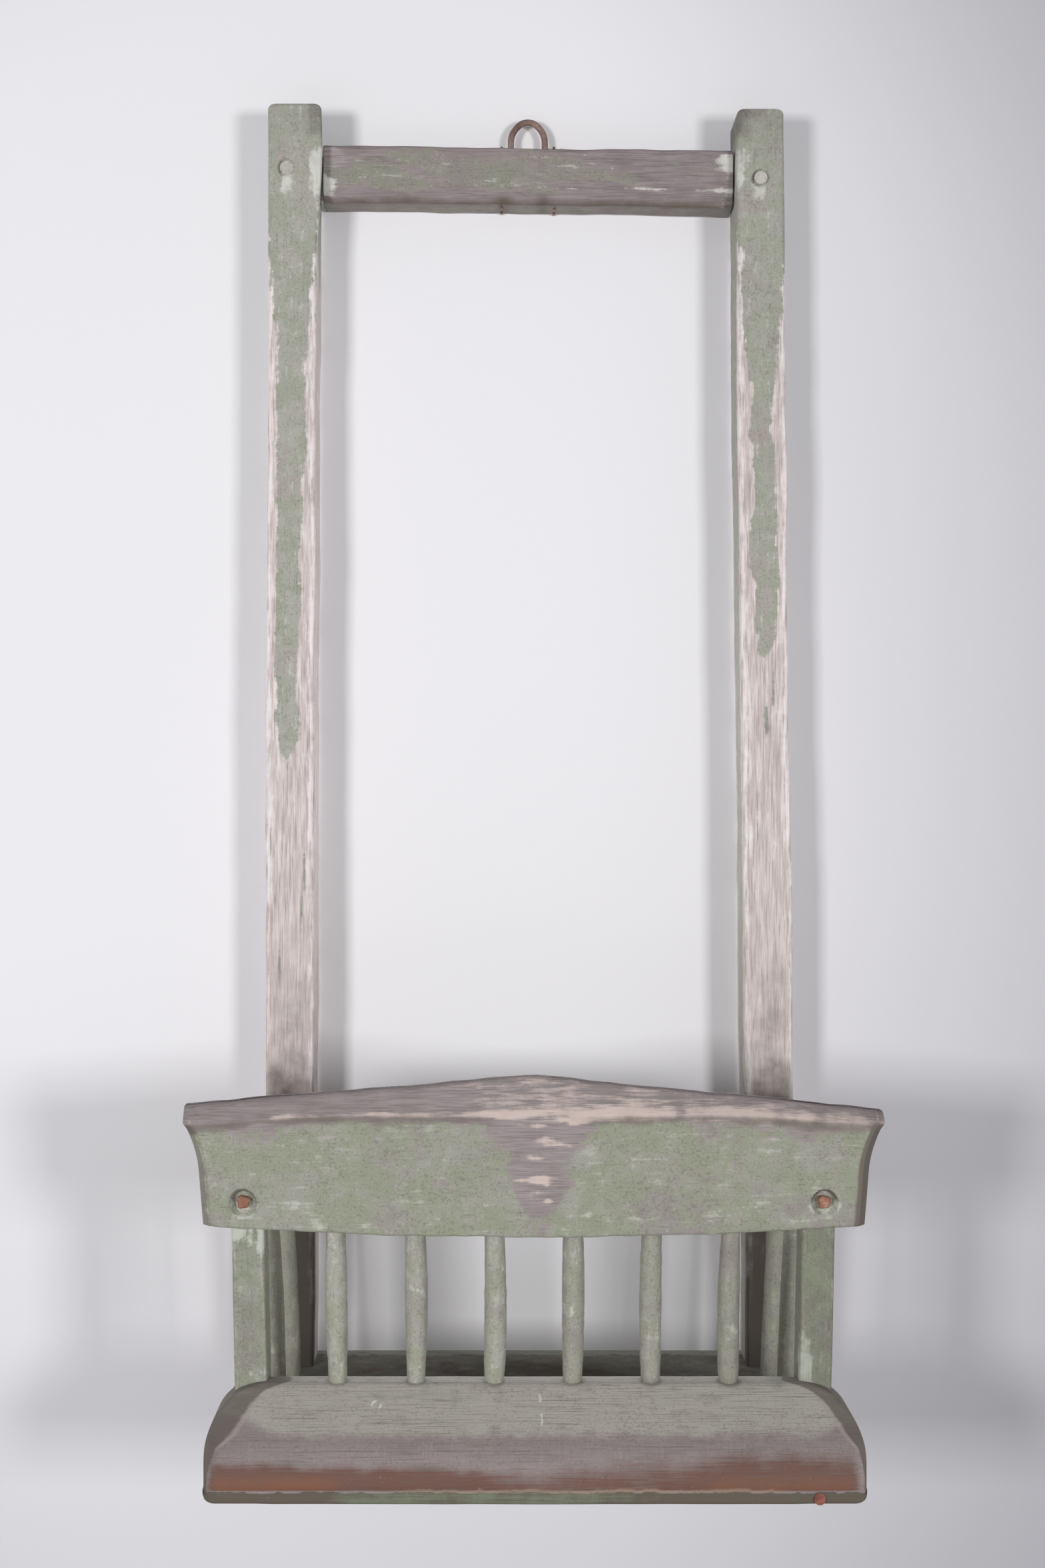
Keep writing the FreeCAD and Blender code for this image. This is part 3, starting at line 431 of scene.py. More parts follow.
lip_border = down + 0.007 * wander(roll_x, 24, 0.06) + 0.004 * wander(roll_x, 25, 0.017)
on_lip = smooth(0.886, 0.906, lip_border)
sage_run = between(-0.140, -0.105, 0.02, 0.10, roll_x) + 0.35 * smooth(0.02, 0.10, roll_x)
edge_run = 0.2 + 0.8 * between(-0.11, -0.05, 0.130, 0.165, roll_x)
ring_mark = bell(np.hypot(roll_x + 0.0948, (down - 0.20) * face_length) - 0.0026, 0.0011)
ring_mark = ring_mark * (0.75 + 0.35 * np.sin(900 * roll_x + 40 * down))
upper_dab = between(0.07, 0.11, 0.16, 0.21, down)
lower_dab = 0.95 * between(0.24, 0.30, 0.36, 0.44, down)
drip_mark = bell(roll_x - 0.0033 - 0.004 * down, 0.0013) * (upper_dab + lower_dab)
cut_away = smooth(0.0, 0.0016, section_z - end_top)
roll_marks = {
    "down": down + climb * between(0.15, 0.35, 0.60, 0.75, down),
    "ends": np.maximum(cut_away, smooth(0.0, 0.30, in_facet)),
    "brown": brown_share * on_nose * left_end * right_end,
    "vivid": on_nose * smooth(0.68, 0.86, down) * vivid_run,
    "lip": on_lip,
    "edge_rub": bell(lip_border - 0.893, 0.013) * edge_run,
    "sage": on_lip * sage_run,
    "scuffed": between(0.47, 0.55, 0.68, 0.80, down),
    "worn_line": bell(to_outline - facet, 0.0022) * faces_out * smooth(0.70, 0.55, down),
    "pale": 0.75 * ring_mark + 0.70 * drip_mark,
    "dirt": 0.45 * by_foot + 0.22 * smooth(0.0, 0.15, roll_x)
    + 0.45 * smooth(-0.181, -0.191, roll_x) * smooth(0.40, 0.60, down),
}
roll_marks = {word: np.concatenate([mark[:1], mark, mark[-1:]]) for word, mark in roll_marks.items()}


def rubbed_seat(name):
    """Pine seat edge: chalky paint on the slope, grey scuffed fibre, brown wood on the nose, paint below.

    The mark down runs from 0 at the upper arris to 1 under the lip; the other marks say where the
    cut ends, brown and orange wood, the lip, its green paint, scuffs, white drips and dirt are.
    Fibre noise along the board frays the zones. The eye sees dry paint above a polished nose."""
    fibre_width, fibre_length = 0.0008, 0.040
    scuff_width, scuff_length = 0.0009, 0.011
    stain, patch, speck = 0.030, 0.014, 0.0016
    material, tree = new_finish(name)
    found = patterns_of(tree, [
        ("fibre", [fibre_length, fibre_width, fibre_width], 5, 0.65),
        ("scuffs", [scuff_width, scuff_length, scuff_length], 5, 0.7),
        ("stains", [2 * stain, stain, stain], 6, 0.65),
        ("patches", [patch] * 3, 8, 0.68),
        ("specks", [speck] * 3, 3, 0.55),
    ], roll_marks)
    # The base tone and the band at the top of the slope are lightened, partly as painted light from above.
    colour = laid(tree, found, linear("#aeaaa2"), [
        (0.10, 0.04, 1.0, "#b4b0aa", {"down": 1, "patches": 0.10, "fibre": 0.07}),
        (0.78, 0.96, 0.8, "#9c9f8f", {"stains": 1, "patches": 0.5}),
        (0.84, 1.02, 0.7, "#998a88", {"patches": 1, "fibre": 0.6}),
        (0.70, 0.82, 1.0, "#918685", {"down": 1, "patches": 0.25, "fibre": 0.30}),
        (0.78, 1.02, 0.5, "#7d7271", {"scuffed": 0.15, "stains": 0.8, "patches": 0.6}),
        (1.14, 1.42, 0.5, "#b0a3a1", {"scuffed": 0.5, "scuffs": 0.7, "patches": 0.6}),
        (0.86, 1.52, 1.0, "#684a40", {"brown": 1, "patches": 0.5, "fibre": 0.9}),
        (1.10, 1.95, 0.72, "#7d503a", {"vivid": 1, "patches": 1.2, "fibre": 0.4}),
        (0.95, 1.20, 1.0, "#5f584d", {"lip": 1, "fibre": 0.5}),
        (1.75, 2.40, 0.75, "#78816b", {"sage": 1, "patches": 1.2, "fibre": 1.2}),
        (0.62, 1.20, 0.75, "#98826f", {"edge_rub": 1, "patches": 0.5, "fibre": 0.4}),
        (1.015, 1.035, 1.0, "#514840", {"down": 1}),
        (0.86, 1.02, 0.42, "#bbb6ae", {"specks": 1, "patches": 0.4}),
        (0.56, 0.42, 0.52, "#605850", {"fibre": 1, "patches": 0.15}),
        (0.62, 0.46, 0.32, "#605850", {"specks": 1, "stains": 0.3}),
        (0.70, 1.50, 0.60, "#aaa09b", {"worn_line": 1, "patches": 0.9}),
        (0.75, 1.60, 0.80, "#665e57", {"ends": 1, "patches": 1.3}),
        (0.50, 1.30, 0.8, "#58524b", {"dirt": 1, "patches": 0.5, "fibre": 0.3}),
        (0.55, 0.95, 0.85, "#dcdad4", {"pale": 1, "specks": 0.5}),
    ])
    height = summed(tree, found, {"fibre": 1, "specks": 0.3, "patches": 0.5})
    rough = add(tree, "ShaderNodeMapRange", {"Value": found["brown"], "To Min": 0.82, "To Max": 0.55})
    shader = surfaced(tree, colour, rough, height, 0.0005, 0.5)
    shader.inputs["Specular IOR Level"].default_value = 0.3
    return material


roll = skin("roll_block", roll_rings, roll_marks, rubbed_seat("rubbed_pine_seat_edge"))
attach(roll, "seat_frame")
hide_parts("seat_roll")


# Iron fastenings: cut nails under the roll and one in its lip, and the bolts' washers and nuts,
# all of plain wrought iron that was hammered in or screwed home, gone to dry brown rust.


def dry_rust(name, tones, grit):
    """Wrought iron with years of dry rust: brown to orange grains, grit metres across.

    The eye sees a rough, pitted, matt skin with hardly any metal left to shine."""
    material, tree = new_finish(name)
    coarse = 5 * grit
    found = patterns_of(tree, [("grains", [grit] * 3, 5, 0.7), ("blotch", [coarse] * 3, 3, 0.5)], [])
    colour = laid(tree, found, linear(tones[0]), [
        (0.58, 0.80, 1.0, tones[1], {"grains": 0.6, "blotch": 1}),
        (0.80, 1.00, 1.0, tones[2], {"grains": 0.6, "blotch": 1}),
    ])
    rough = add(tree, "ShaderNodeMapRange", {"Value": found["grains"], "To Min": 0.6, "To Max": 0.95})
    shader = surfaced(tree, colour, rough, found["grains"], 0.0004, 0.6)
    shader.inputs["Metallic"].default_value = 0.15
    return material


def finish_nodes(material, *names):
    """Gives CAD nodes whose shape is right a finished material."""
    for name in names:
        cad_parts[name].data.materials.clear()
        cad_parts[name].data.materials.append(material)


rust = dry_rust("dry_rusted_iron", ("#4a352d", "#6d4a3d", "#8f6653"), 0.0012)
finish_nodes(rust, "roll_nails", "bolt_washer_left", "bolt_washer_right", "bolt_nut_left", "bolt_nut_right")
finish_nodes(dry_rust("red_rusted_nail_head", ("#5e352c", "#7a463b", "#8f5a4c"), 0.0010), "lip_nail")


# Hanger rails: two tall pine rails that hands have held for years, tenoned and pegged into the plank.
# Paint is left high up and along the middle of each face; lower down the wood is bare, and every
# arris is rubbed. Silvered fibre beside dull paint gives the eye pale, dry streaks.
rail_wood = weathered_paint(
    "worn_paint_on_silvered_pine", "Z", paint=("#a0a394", "#adaca3", "#aba29d"), wood=("#bbafac", "#dacfcc"),
    fresh="#efe7e5", chalk="#d3d4cc", grime="#463f3a", fray=1.9)
rail_sizes = {
    "left": {"wide": 0.0334, "paint_end": 0.43, "seed": 31, "flare": 0.0034, "lift": 0.0006, "grime": 0.05},
    "right": {"wide": 0.033, "paint_end": 0.51, "seed": 37, "flare": 0.0, "lift": 0.0010, "grime": 0.17},
}
# Where a front face's paint stops: height, then its left and right border as shares of the width.
paint_borders = {
    "left": [
        (0.426, 0.75, 0.25), (0.434, 0.46, 0.46), (0.441, 0.38, 0.50), (0.454, 0.25, 0.67),
        (0.468, 0.19, 0.70), (0.486, 0.23, 0.61), (0.501, 0.18, 0.65), (0.537, 0.20, 0.67),
        (0.554, 0.19, 0.72), (0.580, 0.21, 0.64), (0.600, 0.23, 0.75), (0.630, 0.21, 0.73),
        (0.646, 0.20, 0.79), (0.732, 0.20, 0.80), (0.787, 0.08, 0.90), (0.821, 0.02, 0.97),
        (0.860, -0.10, 1.10)],
    "right": [
        (0.502, 0.75, 0.25), (0.509, 0.49, 0.49), (0.514, 0.37, 0.61), (0.521, 0.35, 0.71),
        (0.539, 0.32, 0.77), (0.560, 0.34, 0.83), (0.575, 0.20, 0.83), (0.592, 0.20, 0.75),
        (0.603, 0.23, 0.79), (0.619, 0.34, 0.77), (0.654, 0.30, 0.73), (0.665, 0.24, 0.68),
        (0.695, 0.32, 0.72), (0.707, 0.26, 0.76), (0.740, 0.14, 0.86), (0.775, 0.12, 0.94),
        (0.787, 0.20, 0.97), (0.800, 0.06, 1.00), (0.860, -0.10, 1.10)],
}
# Slits of paint lower down: share of the width, height, half width as a share, and half height.
paint_slits = {
    "left": [(0.80, 0.362, 0.035, 0.016), (0.74, 0.335, 0.030, 0.012), (0.28, 0.300, 0.025, 0.012)],
    "right": [(0.52, 0.466, 0.060, 0.013), (0.67, 0.487, 0.035, 0.012), (0.30, 0.395, 0.020, 0.014)],
}
border_soft = 0.11
rail_sunk = 0.0045
rail_start = plank_high.z - rail_sunk
rail_end_round = 0.0045
tenon_wide = np.full((2, 1), 0.0125)
tenon_deep = 0.012
tenon_round = np.full((2, 1), 0.0008)
wood_behind_tenon = 0.015
tenon_y = plank_high.y - wood_behind_tenon - tenon_deep


def leaning(low, high, half, outward):
    """Where the middle of a leaning piece lies in its box: at its end nearer the seat's middle, then far."""
    inner = (low.x if outward > 0 else high.x) + outward * half
    outer = (high.x if outward > 0 else low.x) - outward * half
    return inner, outer


for side, size in rail_sizes.items():
    node = "hanger_rail_" + side
    low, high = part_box(node)
    seed = size["seed"]
    outer_way = -1 if side == "left" else 1
    half = size["wide"] / 2
    head_x, foot_x = leaning(low, high, half, outer_way)
    z, inset = rounded_ends(rail_start, high.z + size["lift"], rail_end_round, 0.0018)
    share = (z - plank_high.z) / (high.z - plank_high.z)
    rub = 0.0024 + 0.0011 * wander(z, seed, 0.31)
    wide = half - inset + 0.0004 * wander(z, seed + 1, 0.4)
    deep = (high.y - low.y) / 2 - 0.35 * inset + 0.0003 * wander(z, seed + 2, 0.5)
    a, b, to_arris = rounded_section(wide, deep, np.maximum(rub, 0.0012), 34, 34)
    lean = foot_x + (head_x - foot_x) * share + 0.0006 * wander(z, seed + 3, 0.6)
    front = -b / deep
    across = (a / wide + 1) / 2
    flare = size["flare"] * smooth(0.78, 0.865, z) * smooth(0.0, 0.9, front)
    a = a - outer_way * smooth(0.0, 1.0, -outer_way * a / wide) * flare
    inner = -outer_way * a / wide
    rings = np.stack([a + lean, b + (low.y + high.y) / 2, np.broadcast_to(z, a.shape)], -1)
    tenon_a, tenon_b, _ = rounded_section(tenon_wide, tenon_deep, tenon_round, 34, 34)
    tenon_z = np.broadcast_to([[0.0], [rail_start]], tenon_a.shape)
    tenon = np.stack([tenon_a + lean[:2], tenon_b + tenon_y, tenon_z], -1)
    # Bare wood creeps in from the arrises, further the lower down; the front follows its borders.
    fade = np.clip((0.90 - z) / (0.90 - size["paint_end"]), 0, 1.4)
    margin = (0.0010 + (half + 0.002) * fade ** 1.95) * (1 + 0.40 * wander(z, seed + 4, 0.12))
    inner_margin = 0.0015 + 0.004 * fade if side == "right" else 0.030 * smooth(0.84, 0.72, z)
    margin = np.where(inner > 0.85, inner_margin, margin)
    heights, left_border, right_border = np.array(paint_borders[side]).T
    left_border = np.interp(z, heights, left_border) + 0.014 * wander(z, seed + 5, 0.019)
    right_border = np.interp(z, heights, right_border) + 0.014 * wander(z, seed + 6, 0.023)
    left_bare = smooth(left_border + border_soft, left_border - border_soft, across)
    right_bare = smooth(right_border - border_soft, right_border + border_soft, across)
    on_front = smooth(0.75, 0.96, front)
    slit = 0.0
    for slit_across, slit_z, slit_wide, slit_tall in paint_slits[side]:
        spot = bell(across - slit_across, slit_wide) * bell(z - slit_z, slit_tall)
        slit = np.maximum(slit, spot * on_front)
    bare = smooth(1.0, -0.9, (to_arris - margin) / (0.0018 + 0.0045 * fade)) * (1 - on_front)
    bare = bare + np.maximum(left_bare, right_bare) * on_front - 0.9 * slit
    on_arris = np.exp(-to_arris / 0.0018)
    # A dark gap rings the cross bar's peg, with painted shadow on its left side; dirt sits in its joint, and
    # the paint is chipped below both.
    peg_low, peg_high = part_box("cross_rail_peg_" + side)
    from_peg_x = rings[:, :, 0] - (peg_low.x + peg_high.x) / 2
    from_peg_z = z - (peg_low.z + peg_high.z) / 2
    peg_gap_and_shadow = bell(np.hypot(from_peg_x, from_peg_z) - 0.0053, 0.0012) * (b < 0)
    peg_gap_and_shadow = peg_gap_and_shadow * (0.35 + 0.65 * smooth(0.003, -0.004, from_peg_x))
    peg_chip = bell(from_peg_x, 0.0065) * between(-0.034, -0.006, -0.004, 0.008, from_peg_z)
    inner_edge = smooth(0.30, 0.95, inner)
    joint_chip = inner_edge * between(0.818, 0.840, 0.852, 0.872, z)
    joint_dirt_and_shade = 0.70 * peg_gap_and_shadow + 0.26 * inner_edge * smooth(0.868, 0.875, z)
    # Low on the front the darkening is partly dirt and partly painted shade, darkest at the foot.
    foot_dirt_and_shade = (0.82 * smooth(0.25, 0.16, z) + 0.5 * smooth(0.09, 0.025, z)) * smooth(0.1, 0.9, front)
    hand_dirt = 0.28 * smooth(0.36, 0.24, z) * (1 - 0.8 * on_arris) + 0.16 * smooth(0.84, 0.88, z)
    marks = {
        "bare": (0.62 + 0.53 * smooth(0.86, 0.62, z)) * bare - 0.1 + 0.15 * smooth(0.86, 0.885, z),
        "fresh": 0.14 + 0.26 * on_arris + 0.16 * smooth(0.28, 0.40, z) - 0.2 * smooth(0.86, 0.88, z),
        "pale": 0.12 * smooth(0.80, 0.86, z) + 0.55 * peg_chip + 0.55 * joint_chip,
        "dirt": foot_dirt_and_shade + hand_dirt + joint_dirt_and_shade + size["grime"] * smooth(0.45, 0.70, z) + 0.30 * slit,
    }
    marks = {word: np.concatenate([mark[:2], mark]) for word, mark in marks.items()}
    rail = skin("rail_" + side, np.concatenate([tenon, rings]), marks, rail_wood)
    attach(rail, "seat_frame")
    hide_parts(node)


# Cross rail: a short pine bar tenoned and pegged between the rails' tops, a little out of level.
# Its paint has gone grey and brown, with chalky patches by the shoulders; its underside is darkened with
# painted shade.
bar_low, bar_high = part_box("top_cross_rail")
bar_tilt = 0.004
bar_height = 0.039
bar_gap = 0.0003
bar_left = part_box("hanger_rail_left")[1].x + rail_sizes["left"]["flare"] + bar_gap
bar_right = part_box("hanger_rail_right")[0].x - bar_gap
bar_tenon_reach = 0.012
bar_tenon_deep = 0.006
bar_tenon_tall = 0.014
bar_tenon_round = 0.0008
front_wear = 0.004
bar_x, bar_inset = rounded_ends(bar_left, bar_right, 0.0010, 0.0022)
bar_half = (bar_high.y - bar_low.y) / 2 - bar_inset
bar_tall = bar_height / 2 - bar_inset
bar_rub = np.minimum(0.0028 + 0.0008 * wander(bar_x, 41, 0.17), bar_half)
left_tenon = [[bar_left - bar_tenon_reach], [bar_left]]
right_tenon = [[bar_right], [bar_right + bar_tenon_reach]]
bar_x = np.vstack([left_tenon, bar_x, right_tenon])
bar_half = np.pad(bar_half, ((2, 2), (0, 0)), constant_values=bar_tenon_deep)
bar_tall = np.pad(bar_tall, ((2, 2), (0, 0)), constant_values=bar_tenon_tall)
bar_rub = np.pad(bar_rub, ((2, 2), (0, 0)), constant_values=bar_tenon_round)
a, b, to_arris = rounded_section(bar_half, bar_tall, bar_rub, 26, 30)
bar_sag = 0.0008 * smooth(0.145, 0.02, np.abs(bar_x))
lower_front = smooth(-0.004, -0.0195, b) * smooth(0.0, -0.0165, a)
level = (bar_low.z + bar_high.z) / 2 - bar_tilt * bar_x / (bar_right - bar_left)
bar_z = b + level + 0.0005 * wander(bar_x, 42, 0.2) + bar_sag * smooth(0.0, -bar_height / 2, b)
bar_y = a + (bar_low.y + bar_high.y) / 2 + front_wear * lower_front
bar_rings = np.stack([np.broadcast_to(bar_x, a.shape), bar_y, bar_z], -1)
# Paint is chipped at both shoulders, and rust has run down from the staples.
left_chip = smooth(-0.124, -0.143, bar_x) * between(-0.020, -0.010, -0.006, 0.008, b)
right_chip = smooth(0.112, 0.142, bar_x) * between(-0.004, 0.012, 0.014, 0.0195, b)
right_dust = smooth(0.10, 0.142, bar_x) * smooth(0.004, -0.012, b)
pink_end = smooth(-0.118, -0.132, bar_x) * smooth(-0.002, 0.006, b)
rust_run = (bell(bar_x + 0.0175, 0.005) + bell(bar_x - 0.010, 0.004)) * smooth(-0.010, -0.015, b)
worn_line = bell(b + 0.0085, 0.0013) * smooth(-0.04, 0.0, bar_x) * smooth(0.0, -0.010, a)
bare_patches = 0.30 + 0.22 * wander(bar_x + 3 * b, 44, 0.09)
chalk_patches = smooth(0.2, 1.0, wander(bar_x + 2 * b, 43, 0.12))
bar_marks = {
    "bare": bare_patches + 0.35 * np.exp(-to_arris / 0.004) + 0.5 * pink_end
    + 0.35 * smooth(0.0, 0.08, bar_x) + 0.45 * lower_front,
    "fresh": 0.12 + 0.25 * pink_end,
    "pale": 0.70 * (left_chip + right_chip) + 0.34 * right_dust + 0.38 * worn_line + 0.22 * chalk_patches,
    # The underside's darkening in this mark is painted shade; the rest is rust and dirt.
    "dirt": 0.35 * rust_run + 0.10 + 0.10 * lower_front + 0.42 * smooth(-0.014, -0.0195, b)
    + 0.10 * smooth(-0.02, 0.1, bar_x),
}
# Paint and wood are nearly of one grey here: the eye sees a dusty bar with white chips.
bar_wood = weathered_paint(
    "greyed_paint_on_pine", "X", paint=("#8f8f82", "#9a968e", "#928987"), wood=("#82787a", "#9c9192"),
    fresh="#b3a6a6", chalk="#d6d5cf", grime="#665e54", sheen=0.05)
bar = skin("cross_bar", bar_rings, bar_marks, bar_wood)
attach(bar, "seat_frame")
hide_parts("top_cross_rail")


# Hanging ring: one iron wire bent to a pointed arch, its feet turned outwards under the staples.
# It swings on those feet. Handling keeps it smoother than the nails, a greyer brown to the eye.
finish_nodes(dry_rust("browned_iron_wire", ("#654f49", "#836b64", "#9c867e"), 0.0015), "hang_ring")


# Staples: iron wire bent over the ring's feet, driven through the bar and hammered flat below it.
# The clinched ends lie half sunk in the wood.
staple_wire = 0.001
ring_axis_y, ring_axis_z = 0.128, 0.86955
clinch = 0.0055
clinch_sink = 0.0002
for side in ("left", "right"):
    node = "ring_staple_" + side
    low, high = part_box(node)
    x = (low.x + high.x) / 2
    spread = high.z - ring_axis_z - staple_wire
    under = bar_rings[np.abs(bar_x[:, 0] - x).argmin(), :, 2].min() + clinch_sink
    crown = np.linspace(np.pi, 0, 15)
    arch_y, arch_z = spread * np.cos(crown), ring_axis_z + spread * np.sin(crown)
    path_y = np.concatenate([[-spread - clinch, -spread], arch_y, [spread, spread + clinch]])
    path_z = np.concatenate([[under, under], arch_z, [under, under]])
    walked = np.concatenate([[0], np.cumsum(np.hypot(np.diff(path_y), np.diff(path_z)))])
    even = np.linspace(0, walked[-1], 150)
    y, z = np.interp(even, walked, path_y), np.interp(even, walked, path_z)
    for _ in range(3):
        y[1:-1] = (y[:-2] + 2 * y[1:-1] + y[2:]) / 4
        z[1:-1] = (z[:-2] + 2 * z[1:-1] + z[2:]) / 4
    way_y, way_z = np.gradient(y), np.gradient(z)
    way = np.hypot(way_y, way_z)
    turn = np.linspace(0, 2 * np.pi, 12, endpoint=False)
    wire_y = ring_axis_y + y[:, None] - staple_wire * np.cos(turn) * (way_z / way)[:, None]
    wire_z = z[:, None] + staple_wire * np.cos(turn) * (way_y / way)[:, None]
    wire_x = np.broadcast_to(x + staple_wire * np.sin(turn), wire_y.shape)
    staple = skin("staple_" + side, np.stack([wire_x, wire_y, wire_z], -1), {}, rust)
    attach(staple, "seat_frame")
    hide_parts(node)


# End posts: flat pine posts that stand in the plank and carry the crest rail and the arms.
# The paint is nearly whole, so the eye sees even sage green, paler at the top and on chipped arrises.
post_wood = weathered_paint(
    "sage_paint_on_pine_posts", "Z", paint=("#8a907c", "#95978b", "#8a867d"), wood=("#9a8b84", "#b5a7a0"),
    fresh="#cbbfb8", chalk="#bfc3b7", grime="#5b594d")
post_wide = 0.020
post_sunk = 0.002
post_end_round = 0.002
for side, outer_way in (("left", -1), ("right", 1)):
    node = "back_post_" + side
    low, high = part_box(node)
    z, inset = rounded_ends(plank_high.z - post_sunk, high.z, post_end_round, 0.003)
    share = (z - plank_high.z) / (high.z - plank_high.z)
    foot_x, head_x = leaning(low, high, post_wide / 2, outer_way)
    rub = np.maximum(0.0018 + 0.0006 * wander(z, 51 + outer_way, 0.09), 0.001)
    a, b, to_arris = rounded_section(post_wide / 2 - inset, (high.y - low.y) / 2 - inset, rub, 18, 22)
    lean = foot_x + (head_x - foot_x) * share
    rings = np.stack([a + lean, b + (low.y + high.y) / 2, np.broadcast_to(z, a.shape)], -1)
    on_face = smooth(0.0, 0.008, -b)
    chipped = np.exp(-to_arris / 0.005) * smooth(0.118, 0.145, z) + 0.8 * bell(z - 0.062, 0.010)
    inner_rub = smooth(-0.002, 0.006, -outer_way * a) * smooth(0.115, 0.06, z)
    worn = 0.42 * chipped if side == "left" else 0.75 * inner_rub
    marks = {
        "bare": 0.42 * np.exp(-to_arris / 0.0022),
        "pale": 0.35 * smooth(0.13, 0.155, z) + worn * on_face,
        "dirt": 0.35 * smooth(0.05, 0.02, z) + 0.45 * (side == "right"),
    }
    post = skin("post_" + side, rings, marks, post_wood)
    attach(post, "seat_frame")
    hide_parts(node)


# Spindles: pine sticks whittled by knife to a soft belly, six in the back and two each side,
# their ends let into holes. No two are alike: each bows a little, and its belly sits at its own
# height. The eye sees soft green sticks, dustier on the knife's facets.
spindle_wood = weathered_paint(
    "sage_paint_on_whittled_pine", "Z", paint=("#9b9c8c", "#a7a69d", "#9d9792"), wood=("#8d827a", "#a59b93"),
    fresh="#bdb3ab", chalk="#c9cbc0", grime="#5f5d50")
spindle_end = 0.0055
spindle_belly = 0.0068
spindle_sunk = 0.004
spindle_bow = 0.0009


def whittled(name, foot, head, seed, share, grime):
    """Stick from foot to head: radius = end + (belly - end) * bump, with shallow knife facets round it.

    The bump is a sine whose peak is moved to the belly's share of the length."""
    t = np.linspace(0, 1, 72)[:, None]
    turn = np.linspace(0, 2 * np.pi, 28, endpoint=False)[None, :]
    peak = math.log(0.5) / math.log(share)
    bump = np.sin(np.pi * t ** peak) ** 0.9
    facet = 0.020 * np.cos(6 * turn + 5 * wander(t, seed, 1.3)) + 0.013 * np.cos(4 * turn + seed)
    radius = spindle_end + (spindle_belly - spindle_end) * bump
    radius = radius * (1 + facet + 0.02 * wander(t, seed + 1, 0.7))
    bow = spindle_bow * np.sin(np.pi * t)
    x = foot[0] + (head[0] - foot[0]) * t + bow * math.cos(seed) + radius * np.cos(turn)
    y = foot[1] + (head[1] - foot[1]) * t + bow * math.sin(seed) + radius * np.sin(turn)
    z = np.broadcast_to(foot[2] + (head[2] - foot[2]) * t, x.shape)
    marks = {
        "bare": 0.12 + 0.2 * wander(t, seed + 2, 0.6) ** 2,
        "pale": 0.34 * smooth(0.2, 1.0, wander(t + 0.03 * np.cos(turn), seed + 3, 0.5)),
        "dirt": 0.30 * (smooth(0.08, 0.0, t) + smooth(0.92, 1.0, t)) + grime,
    }
    stick = skin(name, np.stack([x, y, z], -1), marks, spindle_wood)
    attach(stick, "seat_frame")
    return stick


crest_low, crest_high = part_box("crest_rail")
crest_middle_y = (crest_low.y + crest_high.y) / 2
crest_bow = 0.007
foot_from_back = 0.0115
belly_shares = [0.55, 0.58, 0.42, 0.52, 0.5, 0.34]
for number, share in enumerate(belly_shares, start=1):
    node = "back_spindle_%d" % number
    low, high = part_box(node)
    outward = 1 if number > 3 else -1
    foot_x, head_x = leaning(low, high, spindle_belly, outward)
    stick = whittled(
        "back_stick_%d" % number,
        (foot_x, roll_high.y - foot_from_back, roll_high.z - spindle_sunk),
        (head_x, crest_middle_y, crest_low.z + crest_bow + spindle_sunk),
        60 + number, share, 0.26 * (number > 3) + 0.12 * (number > 5))
    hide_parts(node)
for side, outer_way in (("left", -1), ("right", 1)):
    arm_low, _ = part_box("arm_" + side)
    for number in (1, 2):
        node = "side_spindle_%s_%d" % (side, number)
        low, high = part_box(node)
        foot_x, head_x = leaning(low, high, spindle_belly, outer_way)
        stick = whittled(
            "side_stick_%s_%d" % (side, number),
            (foot_x, (low.y + high.y) / 2, plank_high.z - spindle_sunk),
            (head_x, (low.y + high.y) / 2, arm_low.z + spindle_sunk),
            70 + number + 2 * outer_way, 0.5, 0.3)
        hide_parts(node)


# Arms: pine rails pegged from the posts to the hanger rails, behind the crest rail as seen from
# the seat's back. Hands have rounded their upper edges, where the eye sees smooth bare wood.
arm_tall = 0.022
arm_wide = 0.018
arm_in_joint = 0.0002
for side, outer_way in (("left", -1), ("right", 1)):
    node = "arm_" + side
    low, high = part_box(node)
    post_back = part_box("back_post_" + side)[1].y
    rail_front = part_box("hanger_rail_" + side)[0].y
    end_x, start_x = leaning(low, high, arm_wide / 2, outer_way)
    y, inset = rounded_ends(post_back - arm_in_joint, rail_front + arm_in_joint, 0.0008, 0.004)
    share = (y - post_back) / (rail_front - post_back)
    round_edge = 0.0048 + 0.0008 * wander(y, 81 + outer_way, 0.1)
    a, b, to_arris = rounded_section(arm_wide / 2 - inset, arm_tall / 2 - inset, round_edge, 12, 14)
    middle_x = start_x + (end_x - start_x) * share
    middle_z = (low.z + high.z) / 2 + 0.0004 * wander(y, 83, 0.1)
    rings = np.stack([a + middle_x, np.broadcast_to(y, a.shape), b + middle_z], -1)
    marks = {
        "bare": 0.25 + 0.6 * smooth(0.002, 0.010, b) + 0.2 * np.exp(-to_arris / 0.003),
        "pale": 0.1,
        "dirt": 0.3 * smooth(0.004, -0.01, b),
    }
    arm_wood = weathered_paint(
        "hand_rubbed_arm_" + side, "Y", paint=("#8b917d", "#989a8d", "#8b857e"), wood=("#8d827a", "#a99d96"),
        fresh="#c0b5ae", chalk="#c2c6ba", grime="#5f5d50")
    arm = skin("arm_rest_" + side, rings, marks, arm_wood)
    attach(arm, "seat_frame")
    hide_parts(node)


# Pegs: hardwood pegs, whittled and driven through the joints of bar, rails and arms.
# They were painted over with the rest, and the paint on their ends looks chalky and pale.
peg_wood = weathered_paint(
    "painted_over_pegs", "Y", paint=("#bab8af", "#c6c3bb", "#b3ada6"), wood=("#8d827a", "#aaa096"),
    fresh="#c3bab1", chalk="#cfcfc8", grime="#5f5d50")
for side in ("left", "right"):
    finish_nodes(peg_wood, "cross_rail_peg_" + side, "rail_foot_peg_" + side, "arm_pegs_" + side)


